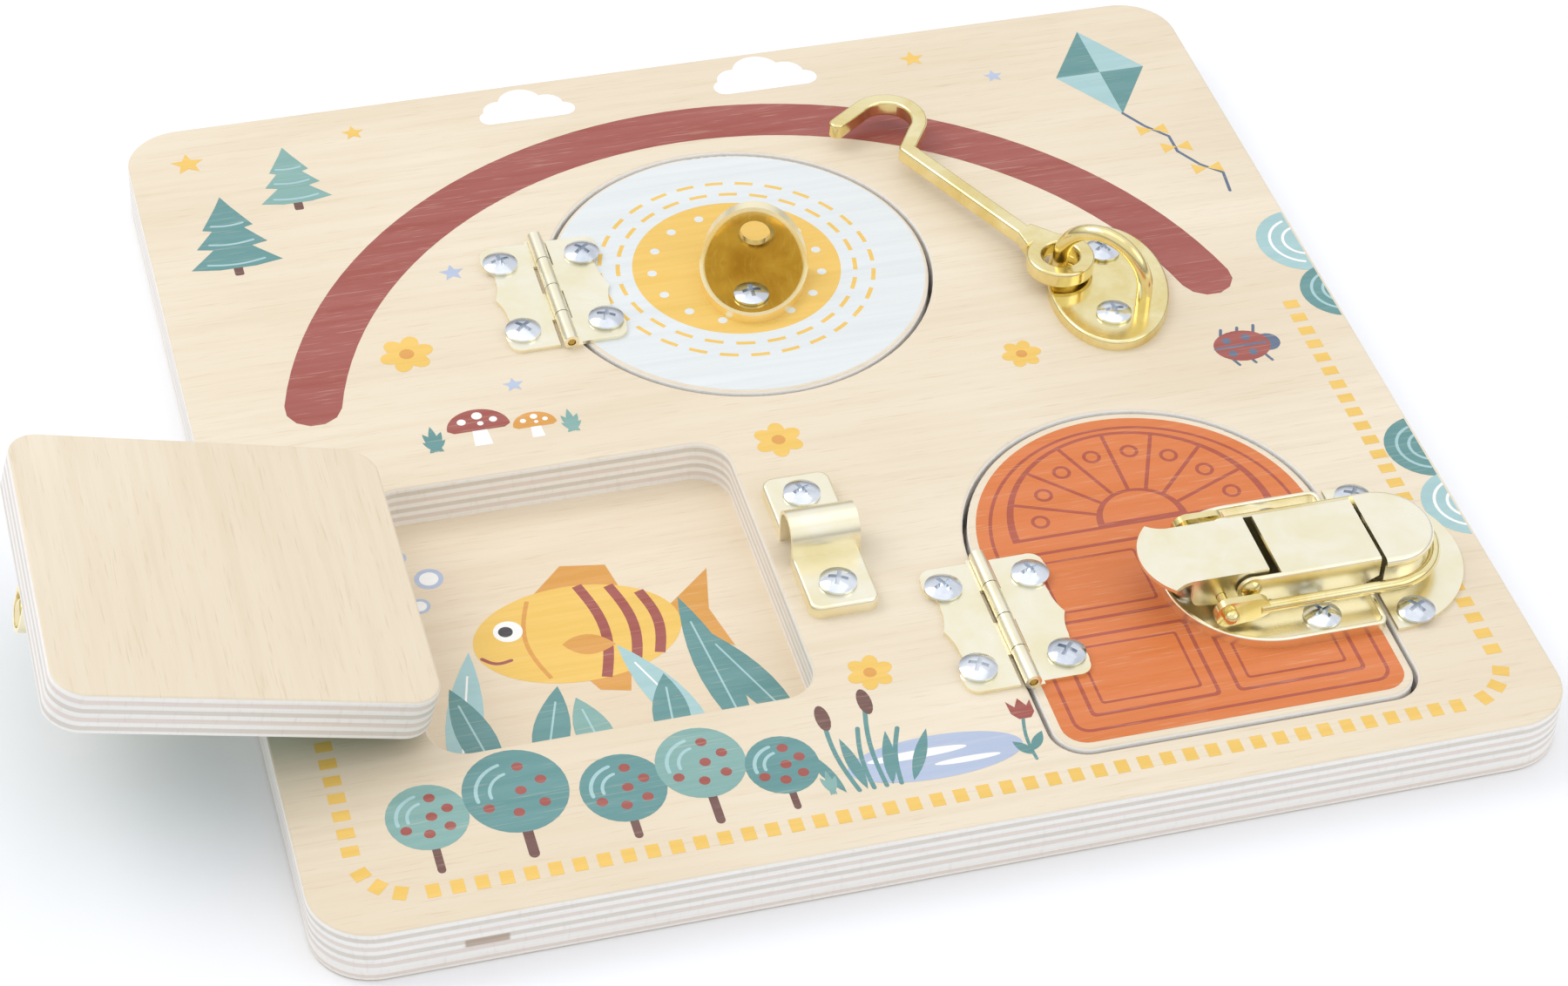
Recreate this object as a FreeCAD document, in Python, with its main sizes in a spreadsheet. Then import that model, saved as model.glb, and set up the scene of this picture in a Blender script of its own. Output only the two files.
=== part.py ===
import FreeCAD, Part
import Sketcher
import math
import os
from FreeCAD import Placement, Rotation, Vector

# Wooden busy board: a 300 mm square plywood board with a round window, a square
# lid and an arched door, each on its own hinge and each with its own fastener.
# Frame: millimetres, +Z up, origin under the middle of the board, front at -Y.

doc = FreeCAD.newDocument("BusyBoard")
sheet = doc.addObject("Spreadsheet::Sheet", "Dimensions")

ROWS = [
    ("BoardWidth", 300.0), ("BoardCorner", 15.0), ("BaseThickness", 3.0), ("PanelThickness", 12.0),
    ("EdgeRound", 0.8), ("LeafClearance", 0.3), ("MovingThickness", 11.7),
    ("RoundX", 0.0), ("RoundY", 56.3), ("RoundRadius", 51.2), ("DiscRadius", 50.0),
    ("SquareX", -67.6), ("SquareY", -54.3), ("SquareOpening", 92.0), ("SquareCorner", 9.0),
    ("LidSize", 89.6), ("LidCorner", 8.0), ("LidOpenAngle", 165.0),
    ("ArchX", 71.6), ("ArchSpring", -66.2), ("ArchRadius", 46.0), ("ArchBottom", -134.4), ("ArchCorner", 9.0),
    ("DoorRadius", 44.8), ("DoorBottom", -133.2), ("DoorCorner", 8.0),
    ("HingeLength", 45.0), ("LeafLength", 42.6), ("LeafReach", 15.5), ("LeafThickness", 1.0),
    ("KnuckleRadius", 2.0), ("PinRadius", 1.0), ("PinFit", 0.07), ("PinHeight", 2.05),
    ("ScrewAcross", 11.0), ("ScrewAlong", 14.0), ("ScrewHead", 4.6), ("ScrewHeadHeight", 2.1),
    ("ScrewShank", 1.5), ("ScrewLength", 9.0), ("PilotRadius", 1.55), ("ScrewHole", 1.7),
    ("WindowHingeX", -50.3), ("WindowHingeY", 56.9),
    ("LidHingeX", -113.0), ("LidHingeY", -54.3),
    ("DoorHingeX", 26.8), ("DoorHingeY", -88.8),
    ("KeeperLeft", -17.6), ("KeeperWidth", 17.2), ("KeeperLength", 48.0), ("KeeperPlate", 3.5),
    ("KeeperInner", 4.8), ("KeeperSheet", 1.0), ("KeeperCentre", 6.6), ("BoltY", -53.0),
    ("BoltAxis", 6.0), ("RodRadius", 3.5), ("RodLength", 40.0), ("BoltTravel", 20.0),
    ("BarrelInner", 3.6), ("BarrelOuter", 4.7), ("BarrelLength", 45.8), ("BarrelBase", 1.2),
    ("BarrelWidth", 30.0), ("BarrelEnd", -23.4),
    ("HookPlateX", 92.0), ("HookPlateY", 25.3), ("HookPlateLong", 24.5), ("HookPlateShort", 16.0),
    ("HookPlateHeight", 3.0), ("StapleRadius", 2.1), ("StapleHalf", 12.4), ("StapleLeg", 4.6),
    ("HookX", 81.0), ("HookY", 33.0), ("HookZ", 21.3), ("HookBar", 4.6), ("EyeOuter", 9.0), ("EyeInner", 5.0),
    ("BracketX", 3.5), ("BracketY", 54.8), ("BracketTurn", -18.0), ("BracketHalfWidth", 14.3),
    ("BracketLength", 22.0), ("BracketThickness", 2.0), ("BracketHoleHeight", 12.6), ("BracketHole", 4.0), ("BracketRim", 1.3), ("BracketBead", 0.7),
    ("LatchY", -88.0), ("LatchBaseX", 91.5), ("LatchBaseRadius", 24.3), ("LatchBaseRight", 115.9),
    ("LatchRim", 2.8), ("LatchWall", 1.2), ("LatchFloor", 1.0),
    ("HousingLeft", 92.6), ("HousingRight", 118.0), ("HousingHalf", 11.2), ("HousingTop", 11.2),
    ("PivotX", 85.0), ("PivotZ", 22.8), ("PivotRadius", 1.5), ("PivotHead", 2.6),
    ("LeverTop", 27.4), ("LeverHalf", 9.6), ("LeverSheet", 1.0), ("LeverRight", 89.6), ("LeverTip", 60.3),
    ("BailPinX", 78.0), ("BailPinZ", 20.9), ("BailPinRadius", 1.2), ("BailHalf", 15.2), ("BailWire", 1.5),
    ("BailZ", 20.6), ("BailArcX", 120.5),
    ("CatchX", 118.0), ("CatchRadius", 25.3), ("CatchSheet", 1.0), ("HoodLeft", 119.0), ("HoodArcX", 122.6),
    ("HoodRadius", 12.6), ("HoodTop", 11.2), ("HoodLip", 1.9), ("NeckRadius", 11.0),
]
for row, (alias, value) in enumerate(ROWS, start=1):
    sheet.set("A%d" % row, alias)
    sheet.set("B%d" % row, str(value))
    sheet.setAlias("B%d" % row, alias)
doc.recompute()


def D(alias):
    return float(sheet.get(alias))


TOP = D("BaseThickness") + D("PanelThickness")


# ---------------------------------------------------------------- helpers
def new_body(label):
    body = doc.addObject("PartDesign::Body", label)
    body.Label = label
    return body


def origin_plane(body, role):
    for feature in body.Origin.OriginFeatures:
        if feature.Role == role:
            return feature
    raise RuntimeError(role)


def new_sketch(body, name, role="XY_Plane", offset=0.0, turn=None):
    sketch = body.newObject("Sketcher::SketchObject", name)
    sketch.AttachmentSupport = [(origin_plane(body, role), "")]
    sketch.MapMode = "FlatFace"
    sketch.AttachmentOffset = turn if turn is not None else Placement(Vector(0, 0, offset), Rotation())
    return sketch


def bind(sketch, constraint, expression=None):
    index = sketch.addConstraint(constraint)
    if expression:
        sketch.setExpression("Constraints[%d]" % index, expression)
    return index


def draw_rectangle(sketch, x0, y0, x1, y1, left=None, bottom=None, width=None, height=None):
    """Four lines fixed from the sketch's own origin; sizes may be bound to the sheet."""
    points = [Vector(x0, y0, 0), Vector(x1, y0, 0), Vector(x1, y1, 0), Vector(x0, y1, 0)]
    first = sketch.GeometryCount
    for i in range(4):
        sketch.addGeometry(Part.LineSegment(points[i], points[(i + 1) % 4]), False)
    for i in range(4):
        sketch.addConstraint(Sketcher.Constraint("Coincident", first + i, 2, first + (i + 1) % 4, 1))
    for i in range(4):
        sketch.addConstraint(Sketcher.Constraint("Horizontal" if i % 2 == 0 else "Vertical", first + i))
    bind(sketch, Sketcher.Constraint("DistanceX", first, 1, first, 2, x1 - x0), width)
    bind(sketch, Sketcher.Constraint("DistanceY", first + 1, 1, first + 1, 2, y1 - y0), height)
    bind(sketch, Sketcher.Constraint("DistanceX", -1, 1, first, 1, x0), left)
    bind(sketch, Sketcher.Constraint("DistanceY", -1, 1, first, 1, y0), bottom)


def draw_circle(sketch, x, y, radius, size=None, cx=None, cy=None):
    index = sketch.addGeometry(Part.Circle(Vector(x, y, 0), Vector(0, 0, 1), radius), False)
    bind(sketch, Sketcher.Constraint("Radius", index, radius), size)
    bind(sketch, Sketcher.Constraint("DistanceX", -1, 1, index, 3, x), cx)
    bind(sketch, Sketcher.Constraint("DistanceY", -1, 1, index, 3, y), cy)


def draw_outline(sketch, points):
    """Closed outline. A point is (x, y) for a straight run to it, or (x, y, mx, my)
    for an arc to it through (mx, my). Every edge is blocked in place."""
    first = sketch.GeometryCount
    count = len(points)
    for i in range(count):
        a = Vector(points[i - 1][0], points[i - 1][1], 0)
        b = Vector(points[i][0], points[i][1], 0)
        if len(points[i]) == 4:
            arc = Part.Arc(a, Vector(points[i][2], points[i][3], 0), b)
            sketch.addGeometry(arc, False)
        else:
            sketch.addGeometry(Part.LineSegment(a, b), False)
    for i in range(count):
        sketch.addConstraint(Sketcher.Constraint("Block", first + i))


def pad(body, sketch, length, expression=None, name="Pad", reverse=False, midplane=False):
    feature = body.newObject("PartDesign::Pad", name)
    feature.Profile = sketch
    feature.Length = length
    if expression:
        feature.setExpression("Length", expression)
    feature.Reversed = reverse
    if midplane:
        feature.SideType = "Symmetric"
    doc.recompute()
    return feature


def pocket(body, sketch, length, expression=None, name="Pocket", reverse=False, midplane=False, through=False):
    before = body.Shape.Volume
    feature = body.newObject("PartDesign::Pocket", name)
    feature.Profile = sketch
    feature.Length = length
    if expression:
        feature.setExpression("Length", expression)
    feature.Reversed = reverse
    if midplane:
        feature.SideType = "Symmetric"
    if through:
        feature.Type = "ThroughAll"
    doc.recompute()
    if not body.Shape.Volume < before - 1e-6:
        raise RuntimeError("pocket %s in %s cuts nothing" % (name, body.Label))
    return feature


def edges_where(shape, test):
    return ["Edge%d" % (i + 1) for i, edge in enumerate(shape.Edges) if test(edge)]


def fillet(body, base, test, radius, expression=None, name="Fillet"):
    names = edges_where(base.Shape, test)
    if not names:
        raise RuntimeError("no edges for %s in %s" % (name, body.Label))
    feature = body.newObject("PartDesign::Fillet", name)
    feature.Base = (base, names)
    feature.Radius = radius
    if expression:
        feature.setExpression("Radius", expression)
    doc.recompute()
    return feature


def is_upright(edge):
    return len(edge.Vertexes) == 2 and isinstance(edge.Curve, Part.Line) and abs(edge.tangentAt(edge.FirstParameter).z) > 0.999


def at_height(z, tolerance=1e-3):
    def test(edge):
        box = edge.BoundBox
        return abs(box.ZMin - z) < tolerance and abs(box.ZMax - z) < tolerance
    return test


def add_shape(label, shape):
    feature = doc.addObject("Part::Feature", label)
    feature.Label = label
    feature.Shape = shape
    return feature


def rounded_square(cx, cy, half, r):
    k = r * (1 - math.sqrt(0.5))
    x0, x1, y0, y1 = cx - half, cx + half, cy - half, cy + half
    return [(x0 + r, y0, x0 + k, y0 + k), (x1 - r, y0), (x1, y0 + r, x1 - k, y0 + k), (x1, y1 - r),
            (x1 - r, y1, x1 - k, y1 - k), (x0 + r, y1), (x0, y1 - r, x0 + k, y1 - k), (x0, y0 + r)]


def arch_outline(cx, spring, radius, bottom, corner):
    k = corner * (1 - math.sqrt(0.5))
    x0, x1 = cx - radius, cx + radius
    return [(x1, bottom + corner, x1 - k, bottom + k), (x1, spring), (x0, spring, cx, spring + radius),
            (x0, bottom + corner), (x0 + corner, bottom, x0 + k, bottom + k), (x1 - corner, bottom)]


def cap(radius, edge, crown):
    """Point half way along a dome from (radius, edge) to (0, crown), centred on the axis."""
    middle = (crown ** 2 - edge ** 2 - radius ** 2) / (2 * (crown - edge))
    size = abs(crown - middle)
    sign = 1 if crown > middle else -1
    half = math.atan2(radius, sign * (edge - middle)) / 2
    return (size * math.sin(half), middle + sign * size * math.cos(half))


PARTS = []      # the finished sub-parts, in the order they are written

# ---------------------------------------------------------------- screw positions (x, y, z under the head)
SA, SL, LT = D("ScrewAcross"), D("ScrewAlong"), D("LeafThickness")


def hinge_screws(hx, hy, side):
    return [(hx + side * SA, hy + s * SL, TOP + LT) for s in (1, -1)]


window_board = hinge_screws(D("WindowHingeX"), D("WindowHingeY"), -1)
window_disc = hinge_screws(D("WindowHingeX"), D("WindowHingeY"), 1)
lid_board = hinge_screws(D("LidHingeX"), D("LidHingeY"), -1)
lid_lid = hinge_screws(D("LidHingeX"), D("LidHingeY"), 1)
door_board = hinge_screws(D("DoorHingeX"), D("DoorHingeY"), -1)
door_door = hinge_screws(D("DoorHingeX"), D("DoorHingeY"), 1)
KX = D("KeeperLeft") + D("KeeperWidth") / 2
keeper_pos = [(KX, D("BoltY") + s * 16.2, TOP + D("KeeperPlate")) for s in (1, -1)]
HA = math.radians(77.8)
hook_pos = [(D("HookPlateX") + s * 13.0 * math.cos(HA), D("HookPlateY") + s * 13.0 * math.sin(HA), TOP + D("HookPlateHeight")) for s in (1, -1)]
catch_pos = [(124.4, D("LatchY") + s * 20.6, TOP + D("CatchSheet")) for s in (1, -1)]
BT = math.radians(D("BracketTurn"))
BU = (math.cos(BT), math.sin(BT))                   # along the bend of the bracket
BS = (math.sin(BT), -math.cos(BT))                  # from the bend towards its screw
bracket_pos = [(D("BracketX") + 12.8 * BS[0], D("BracketY") + 12.8 * BS[1], TOP + D("BracketThickness"))]
barrel_x = (D("BarrelEnd") - D("BarrelLength") + 5.2, D("BarrelEnd") - 5.4)
barrel_pos = [(x, D("BoltY") + s * 10.3, TOP + D("BarrelBase")) for x in barrel_x for s in (1, -1)]
latch_pos = [(73.5, D("LatchY"), TOP + D("LatchFloor")), (101.6, D("LatchY") - 17.0, TOP + D("LatchFloor")),
             (101.6, D("LatchY") + 17.0, TOP + D("LatchFloor"))]


def pilots(body, positions, name="PilotHoles"):
    sketch = new_sketch(body, name + "Sketch", offset=TOP)
    for x, y, z in positions:
        draw_circle(sketch, x, y, D("PilotRadius"), "Dimensions.PilotRadius")
    return pocket(body, sketch, 8.6, name=name)


# ---------------------------------------------------------------- panels
base = new_body("base_panel")
s = new_sketch(base, "BasePlan")
w = D("BoardWidth") / 2
draw_rectangle(s, -w, -w, w, w, "-Dimensions.BoardWidth / 2", "-Dimensions.BoardWidth / 2", "Dimensions.BoardWidth", "Dimensions.BoardWidth")
f = pad(base, s, D("BaseThickness"), "Dimensions.BaseThickness", "BasePad")
f = fillet(base, f, is_upright, D("BoardCorner"), "Dimensions.BoardCorner", "BaseCorners")
f = fillet(base, f, at_height(0.0), 0.5, "Dimensions.EdgeRound * 0.625", "BaseEdge")
PARTS.append(base)

top = new_body("top_panel")
s = new_sketch(top, "TopPlan", offset=D("BaseThickness"))
draw_rectangle(s, -w, -w, w, w, "-Dimensions.BoardWidth / 2", "-Dimensions.BoardWidth / 2", "Dimensions.BoardWidth", "Dimensions.BoardWidth")
f = pad(top, s, D("PanelThickness"), "Dimensions.PanelThickness", "TopPad")
f = fillet(top, f, is_upright, D("BoardCorner"), "Dimensions.BoardCorner", "TopCorners")
s = new_sketch(top, "RoundOpeningPlan", offset=TOP)
draw_circle(s, D("RoundX"), D("RoundY"), D("RoundRadius"), "Dimensions.RoundRadius", "Dimensions.RoundX", "Dimensions.RoundY")
f = pocket(top, s, 10, name="RoundOpening", through=True)
s = new_sketch(top, "SquareOpeningPlan", offset=TOP)
draw_outline(s, rounded_square(D("SquareX"), D("SquareY"), D("SquareOpening") / 2, D("SquareCorner")))
f = pocket(top, s, 10, name="SquareOpeningCut", through=True)
s = new_sketch(top, "ArchOpeningPlan", offset=TOP)
draw_outline(s, arch_outline(D("ArchX"), D("ArchSpring"), D("ArchRadius"), D("ArchBottom"), D("ArchCorner")))
f = pocket(top, s, 10, name="ArchOpening", through=True)
f = fillet(top, f, at_height(TOP), D("EdgeRound"), "Dimensions.EdgeRound", "TopEdge")
pilots(top, window_board + lid_board + door_board + keeper_pos + hook_pos + catch_pos)
PARTS.append(top)

disc = new_body("disc_panel")
s = new_sketch(disc, "DiscPlan", offset=D("BaseThickness") + D("LeafClearance"))
draw_circle(s, D("RoundX"), D("RoundY"), D("DiscRadius"), "Dimensions.DiscRadius", "Dimensions.RoundX", "Dimensions.RoundY")
f = pad(disc, s, D("MovingThickness"), "Dimensions.MovingThickness", "DiscPad")
f = fillet(disc, f, lambda e: at_height(TOP)(e) or at_height(TOP - D("MovingThickness"))(e), D("EdgeRound"), "Dimensions.EdgeRound", "DiscEdge")
pilots(disc, window_disc + bracket_pos)
PARTS.append(disc)

lid = new_body("lid_panel")
s = new_sketch(lid, "LidPlan", offset=D("BaseThickness") + D("LeafClearance"))
draw_outline(s, rounded_square(D("SquareX"), D("SquareY"), D("LidSize") / 2, D("LidCorner")))
f = pad(lid, s, D("MovingThickness"), "Dimensions.MovingThickness", "LidPad")
f = fillet(lid, f, lambda e: at_height(TOP)(e) or at_height(TOP - D("MovingThickness"))(e), D("EdgeRound"), "Dimensions.EdgeRound", "LidEdge")
pilots(lid, lid_lid + barrel_pos)
PARTS.append(lid)

door = new_body("door_panel")
s = new_sketch(door, "DoorPlan", offset=D("BaseThickness") + D("LeafClearance"))
draw_outline(s, arch_outline(D("ArchX"), D("ArchSpring"), D("DoorRadius"), D("DoorBottom"), D("DoorCorner")))
f = pad(door, s, D("MovingThickness"), "Dimensions.MovingThickness", "DoorPad")
f = fillet(door, f, lambda e: at_height(TOP)(e) or at_height(TOP - D("MovingThickness"))(e), D("EdgeRound"), "Dimensions.EdgeRound", "DoorEdge")
pilots(door, door_door + latch_pos)
PARTS.append(door)


# ---------------------------------------------------------------- hinges
def leaf_outline(hx, hy, side):
    """Plan of one butterfly leaf: straight at the pin, scalloped at the outer edge."""
    hl = D("LeafLength") / 2
    reach = D("LeafReach")
    half = [(1.2, hl), (11.6, hl), (reach, hl - 3.6, reach - 1.0, hl - 0.9), (reach - 0.4, hl - 8.6, reach + 0.3, hl - 6.2),
            (reach - 1.9, hl - 13.6, reach - 1.9, hl - 10.9), (reach - 0.3, 0.0, reach - 1.5, hl - 17.8)]
    lower = [(reach - 1.9, -(hl - 13.6), reach - 1.5, -(hl - 17.8)), (reach - 0.4, -(hl - 8.6), reach - 1.9, -(hl - 10.9)),
             (reach, -(hl - 3.6), reach + 0.3, -(hl - 6.2)), (11.6, -hl, reach - 1.0, -(hl - 0.9)), (1.2, -hl)]
    out = []
    for p in half + lower:
        q = [hx + side * p[0], hy + p[1]]
        if len(p) == 4:
            q += [hx + side * p[2], hy + p[3]]
        out.append(tuple(q))
    return out


HL = D("HingeLength") / 2
SEG = D("HingeLength") / 4


def make_leaf(label, hx, hy, side, own, holes):
    """own holds the knuckles of this leaf, counted 0 to 3 from the far end."""
    axis_z = TOP + D("PinHeight")
    leaf = new_body(label)
    sk = new_sketch(leaf, label + "_plan", offset=TOP)
    draw_outline(sk, leaf_outline(hx, hy, side))
    pad(leaf, sk, D("LeafThickness"), "Dimensions.LeafThickness", label + "_pad")
    other = [i for i in range(4) if i not in own]
    # room for the other leaf's knuckles
    sk = new_sketch(leaf, label + "_room", offset=TOP)
    for i in other:
        y1 = min(HL - i * SEG + 0.25, D("LeafLength") / 2 + 1.0)
        y0 = max(HL - (i + 1) * SEG - 0.25, -D("LeafLength") / 2 - 1.0)
        a, b = sorted((hx + side * 0.6, hx + side * 2.7))
        draw_rectangle(sk, a, hy + y0, b, hy + y1)
    pocket(leaf, sk, 3.0, name=label + "_room_cut", reverse=True, through=False)
    # the rolled knuckles, drawn across the pin and padded along it
    for n, i in enumerate(own):
        y1 = HL - i * SEG - 0.12
        y0 = HL - (i + 1) * SEG + 0.12
        sk = new_sketch(leaf, "%s_knuckle%d" % (label, n), "XZ_Plane", offset=-(hy + y0))
        draw_circle(sk, hx, axis_z, D("KnuckleRadius"), "Dimensions.KnuckleRadius")
        pad(leaf, sk, y1 - y0, name="%s_roll%d" % (label, n), reverse=True)
        sk = new_sketch(leaf, "%s_root%d" % (label, n), "XZ_Plane", offset=-(hy + y0))
        a, b = sorted((hx, hx + side * 3.0))
        draw_rectangle(sk, a, TOP, b, TOP + D("LeafThickness"))
        pad(leaf, sk, y1 - y0, name="%s_rootpad%d" % (label, n), reverse=True)
    sk = new_sketch(leaf, label + "_bore", "XZ_Plane", offset=-(hy - HL - 1))
    draw_circle(sk, hx, axis_z, D("PinRadius") + D("PinFit"), "Dimensions.PinRadius + Dimensions.PinFit")
    pocket(leaf, sk, 2 * HL + 2, name=label + "_pinbore", reverse=False)
    sk = new_sketch(leaf, label + "_holes", offset=TOP - 0.5)
    for x, y, z in holes:
        draw_circle(sk, x, y, D("ScrewHole"), "Dimensions.ScrewHole")
    pocket(leaf, sk, 3.0, name=label + "_screwholes", reverse=True)
    return leaf


def make_pin(label, hx, hy):
    pin = new_body(label)
    sk = new_sketch(pin, label + "_round", "XZ_Plane", offset=-(hy - HL + 0.3))
    draw_circle(sk, hx, TOP + D("PinHeight"), D("PinRadius"), "Dimensions.PinRadius")
    feature = pad(pin, sk, 2 * HL - 0.6, name=label + "_pad", reverse=True)
    fillet(pin, feature, lambda e: e.BoundBox.YLength < 1e-6, 0.3, name=label + "_ends")
    return pin


LEAVES = {}
for key, hx, hy, board_holes, leaf_holes, moving in (
        ("window", D("WindowHingeX"), D("WindowHingeY"), window_board, window_disc, "disc"),
        ("lid", D("LidHingeX"), D("LidHingeY"), lid_board, lid_lid, "lid"),
        ("door", D("DoorHingeX"), D("DoorHingeY"), door_board, door_door, "door")):
    LEAVES[key] = (make_leaf("%s_hinge_board_leaf" % key, hx, hy, -1, (0, 2), board_holes),
                   make_leaf("%s_hinge_%s_leaf" % (key, moving), hx, hy, 1, (1, 3), leaf_holes),
                   make_pin("%s_hinge_pin" % key, hx, hy))
    PARTS.extend(LEAVES[key])

# ---------------------------------------------------------------- screws
master = new_body("screw_master")
s = new_sketch(master, "ScrewProfile", "XZ_Plane")
r, h, sh, ln = D("ScrewHead"), D("ScrewHeadHeight"), D("ScrewShank"), D("ScrewLength")
draw_outline(s, [(0, h), (r, 0.85) + cap(r, 0.85, h), (r, 0.3), (r - 0.25, 0.0), (sh, 0.0), (sh, -ln + 1.6), (0, -ln)])
rev = master.newObject("PartDesign::Revolution", "ScrewBody")
rev.Profile = s
rev.ReferenceAxis = (s, ["V_Axis"])
rev.Angle = 360.0
doc.recompute()
s = new_sketch(master, "CrossRecess", offset=h)
c, a = 0.52, 2.45
draw_outline(s, [(c, a), (c, c), (a, c), (a, -c), (c, -c), (c, -a), (-c, -a), (-c, -c), (-a, -c), (-a, c), (-c, c), (-c, a)])
pocket(master, s, 1.5, name="CrossCut")
master_shape = master.Shape.copy()


def screw_group(label, positions, turns):
    shapes = []
    for (x, y, z), turn in zip(positions, turns):
        screw = master_shape.copy()
        screw.Placement = Placement(Vector(x, y, z + 0.0), Rotation(Vector(0, 0, 1), turn))
        shapes.append(screw)
    feature = add_shape(label, Part.makeCompound(shapes))
    PARTS.append(feature)
    return feature


g_board = screw_group("board_hinge_screws", window_board + lid_board + door_board, (12, 40, 5, 31, 22, 60))
g_keeper = screw_group("keeper_screws", keeper_pos, (20, 65))
g_hook = screw_group("hook_plate_screws", hook_pos, (30, 0))
g_catch = screw_group("catch_screws", catch_pos, (55, 28))
g_disc = screw_group("disc_screws", window_disc + bracket_pos, (38, 66, 0))
g_lid = screw_group("lid_screws", lid_lid + barrel_pos, (18, 50, 5, 33, 70, 12))
g_door = screw_group("door_screws", door_door + latch_pos, (15, 47, 8, 25, 61))

# ---------------------------------------------------------------- keeper of the slide bolt
keeper = new_body("bolt_keeper")
kx0, kw, kt = D("KeeperLeft"), D("KeeperWidth"), D("KeeperPlate")
ki, ks, kc = D("KeeperInner"), D("KeeperSheet"), D("KeeperCentre")
ko, kl, ky = ki + ks, D("KeeperLength") / 2, D("BoltY")
s = new_sketch(keeper, "KeeperProfile", "YZ_Plane", offset=kx0)
draw_outline(s, [(ky - kl, TOP), (ky - ki, TOP), (ky - ki, TOP + kc), (ky + ki, TOP + kc, ky, TOP + kc + ki), (ky + ki, TOP),
                 (ky + kl, TOP), (ky + kl, TOP + kt), (ky + ko, TOP + kt), (ky + ko, TOP + kc), (ky - ko, TOP + kc, ky, TOP + kc + ko),
                 (ky - ko, TOP + kt), (ky - kl, TOP + kt)])
f = pad(keeper, s, kw, "Dimensions.KeeperWidth", "KeeperPad")
f = fillet(keeper, f, lambda e: is_upright(e) and abs(abs(e.BoundBox.YMin - ky) - kl) < 0.01, 3.0, name="KeeperCorners")
f = fillet(keeper, f, lambda e: at_height(TOP + kt)(e) and (abs(e.BoundBox.Center.y - ky) > ko + 0.5 or e.BoundBox.YLength > 3) and not abs(abs(e.BoundBox.Center.y - ky) - ko) < 0.2, 0.9, name="KeeperPlateEdge")
s = new_sketch(keeper, "KeeperHoles", offset=TOP + kt)
for x, y, z in keeper_pos:
    draw_circle(s, x, y, D("ScrewHole"), "Dimensions.ScrewHole")
pocket(keeper, s, 10, name="KeeperScrewHoles", through=True)
PARTS.append(keeper)

# ---------------------------------------------------------------- slide bolt on the lid
barrel = new_body("bolt_barrel")
bi, bo, ba = D("BarrelInner"), D("BarrelOuter"), D("BoltAxis")
be, bl, bb, bw = D("BarrelEnd"), D("BarrelLength"), D("BarrelBase"), D("BarrelWidth") / 2
s = new_sketch(barrel, "BarrelProfile", "YZ_Plane", offset=be - bl)
draw_outline(s, [(ky - bw, TOP), (ky + bw, TOP), (ky + bw, TOP + bb), (ky + bo, TOP + bb), (ky + bo, TOP + ba),
                 (ky - bo, TOP + ba, ky, TOP + ba + bo), (ky - bo, TOP + bb), (ky - bw, TOP + bb)])
draw_outline(s, [(ky - bi, TOP + bb), (ky + bi, TOP + bb), (ky + bi, TOP + ba), (ky - bi, TOP + ba, ky, TOP + ba + bi)])
f = pad(barrel, s, bl, "Dimensions.BarrelLength", "BarrelPad")
f = fillet(barrel, f, lambda e: is_upright(e) and abs(abs(e.BoundBox.YMin - ky) - bw) < 0.01, 3.0, name="BarrelCorners")
s = new_sketch(barrel, "BarrelHoles", offset=TOP + bb)
for x, y, z in barrel_pos:
    draw_circle(s, x, y, D("ScrewHole"), "Dimensions.ScrewHole")
pocket(barrel, s, 10, name="BarrelScrewHoles", through=True)
KNOB_X = be - 25.6
s = new_sketch(barrel, "KnobSlotPlan", offset=TOP + ba + bo + 1)
draw_outline(s, [(KNOB_X - 2.2, ky - 2.2), (KNOB_X + D("BoltTravel") + 2.2, ky - 2.2), (KNOB_X + D("BoltTravel") + 2.2, ky + 2.2), (KNOB_X - 2.2, ky + 2.2)])
pocket(barrel, s, bo + 1, name="KnobSlot")
PARTS.append(barrel)

rod = new_body("bolt_rod")
s = new_sketch(rod, "RodRound", "YZ_Plane", offset=be - D("RodLength"))
draw_circle(s, ky, TOP + ba, D("RodRadius"), "Dimensions.RodRadius")
f = pad(rod, s, D("RodLength"), "Dimensions.RodLength", "RodPad")
f = fillet(rod, f, lambda e: e.BoundBox.XLength < 1e-6 and e.BoundBox.XMin > be - 1, 1.2, name="RodNose")
s = new_sketch(rod, "KnobSocket", offset=TOP + ba + D("RodRadius") + 0.5)
draw_circle(s, KNOB_X, ky, 1.8)
pocket(rod, s, 3.0, name="KnobHole")
PARTS.append(rod)

knob = new_body("bolt_knob")
s = new_sketch(knob, "KnobProfile", "XZ_Plane", offset=-ky)
kz = TOP + ba + D("RodRadius") - 2.5
draw_outline(s, [(KNOB_X, kz), (KNOB_X + 1.8, kz), (KNOB_X + 1.8, kz + 4.6), (KNOB_X + 2.4, kz + 5.4), (KNOB_X, kz + 12.6, KNOB_X + 4.0, kz + 8.6)])
s.addGeometry(Part.LineSegment(Vector(KNOB_X, kz + 20, 0), Vector(KNOB_X, kz + 30, 0)), True)
rev = knob.newObject("PartDesign::Revolution", "KnobTurned")
rev.Profile = s
rev.ReferenceAxis = (s, ["Axis0"])
rev.Angle = 360.0
doc.recompute()
PARTS.append(knob)

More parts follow.
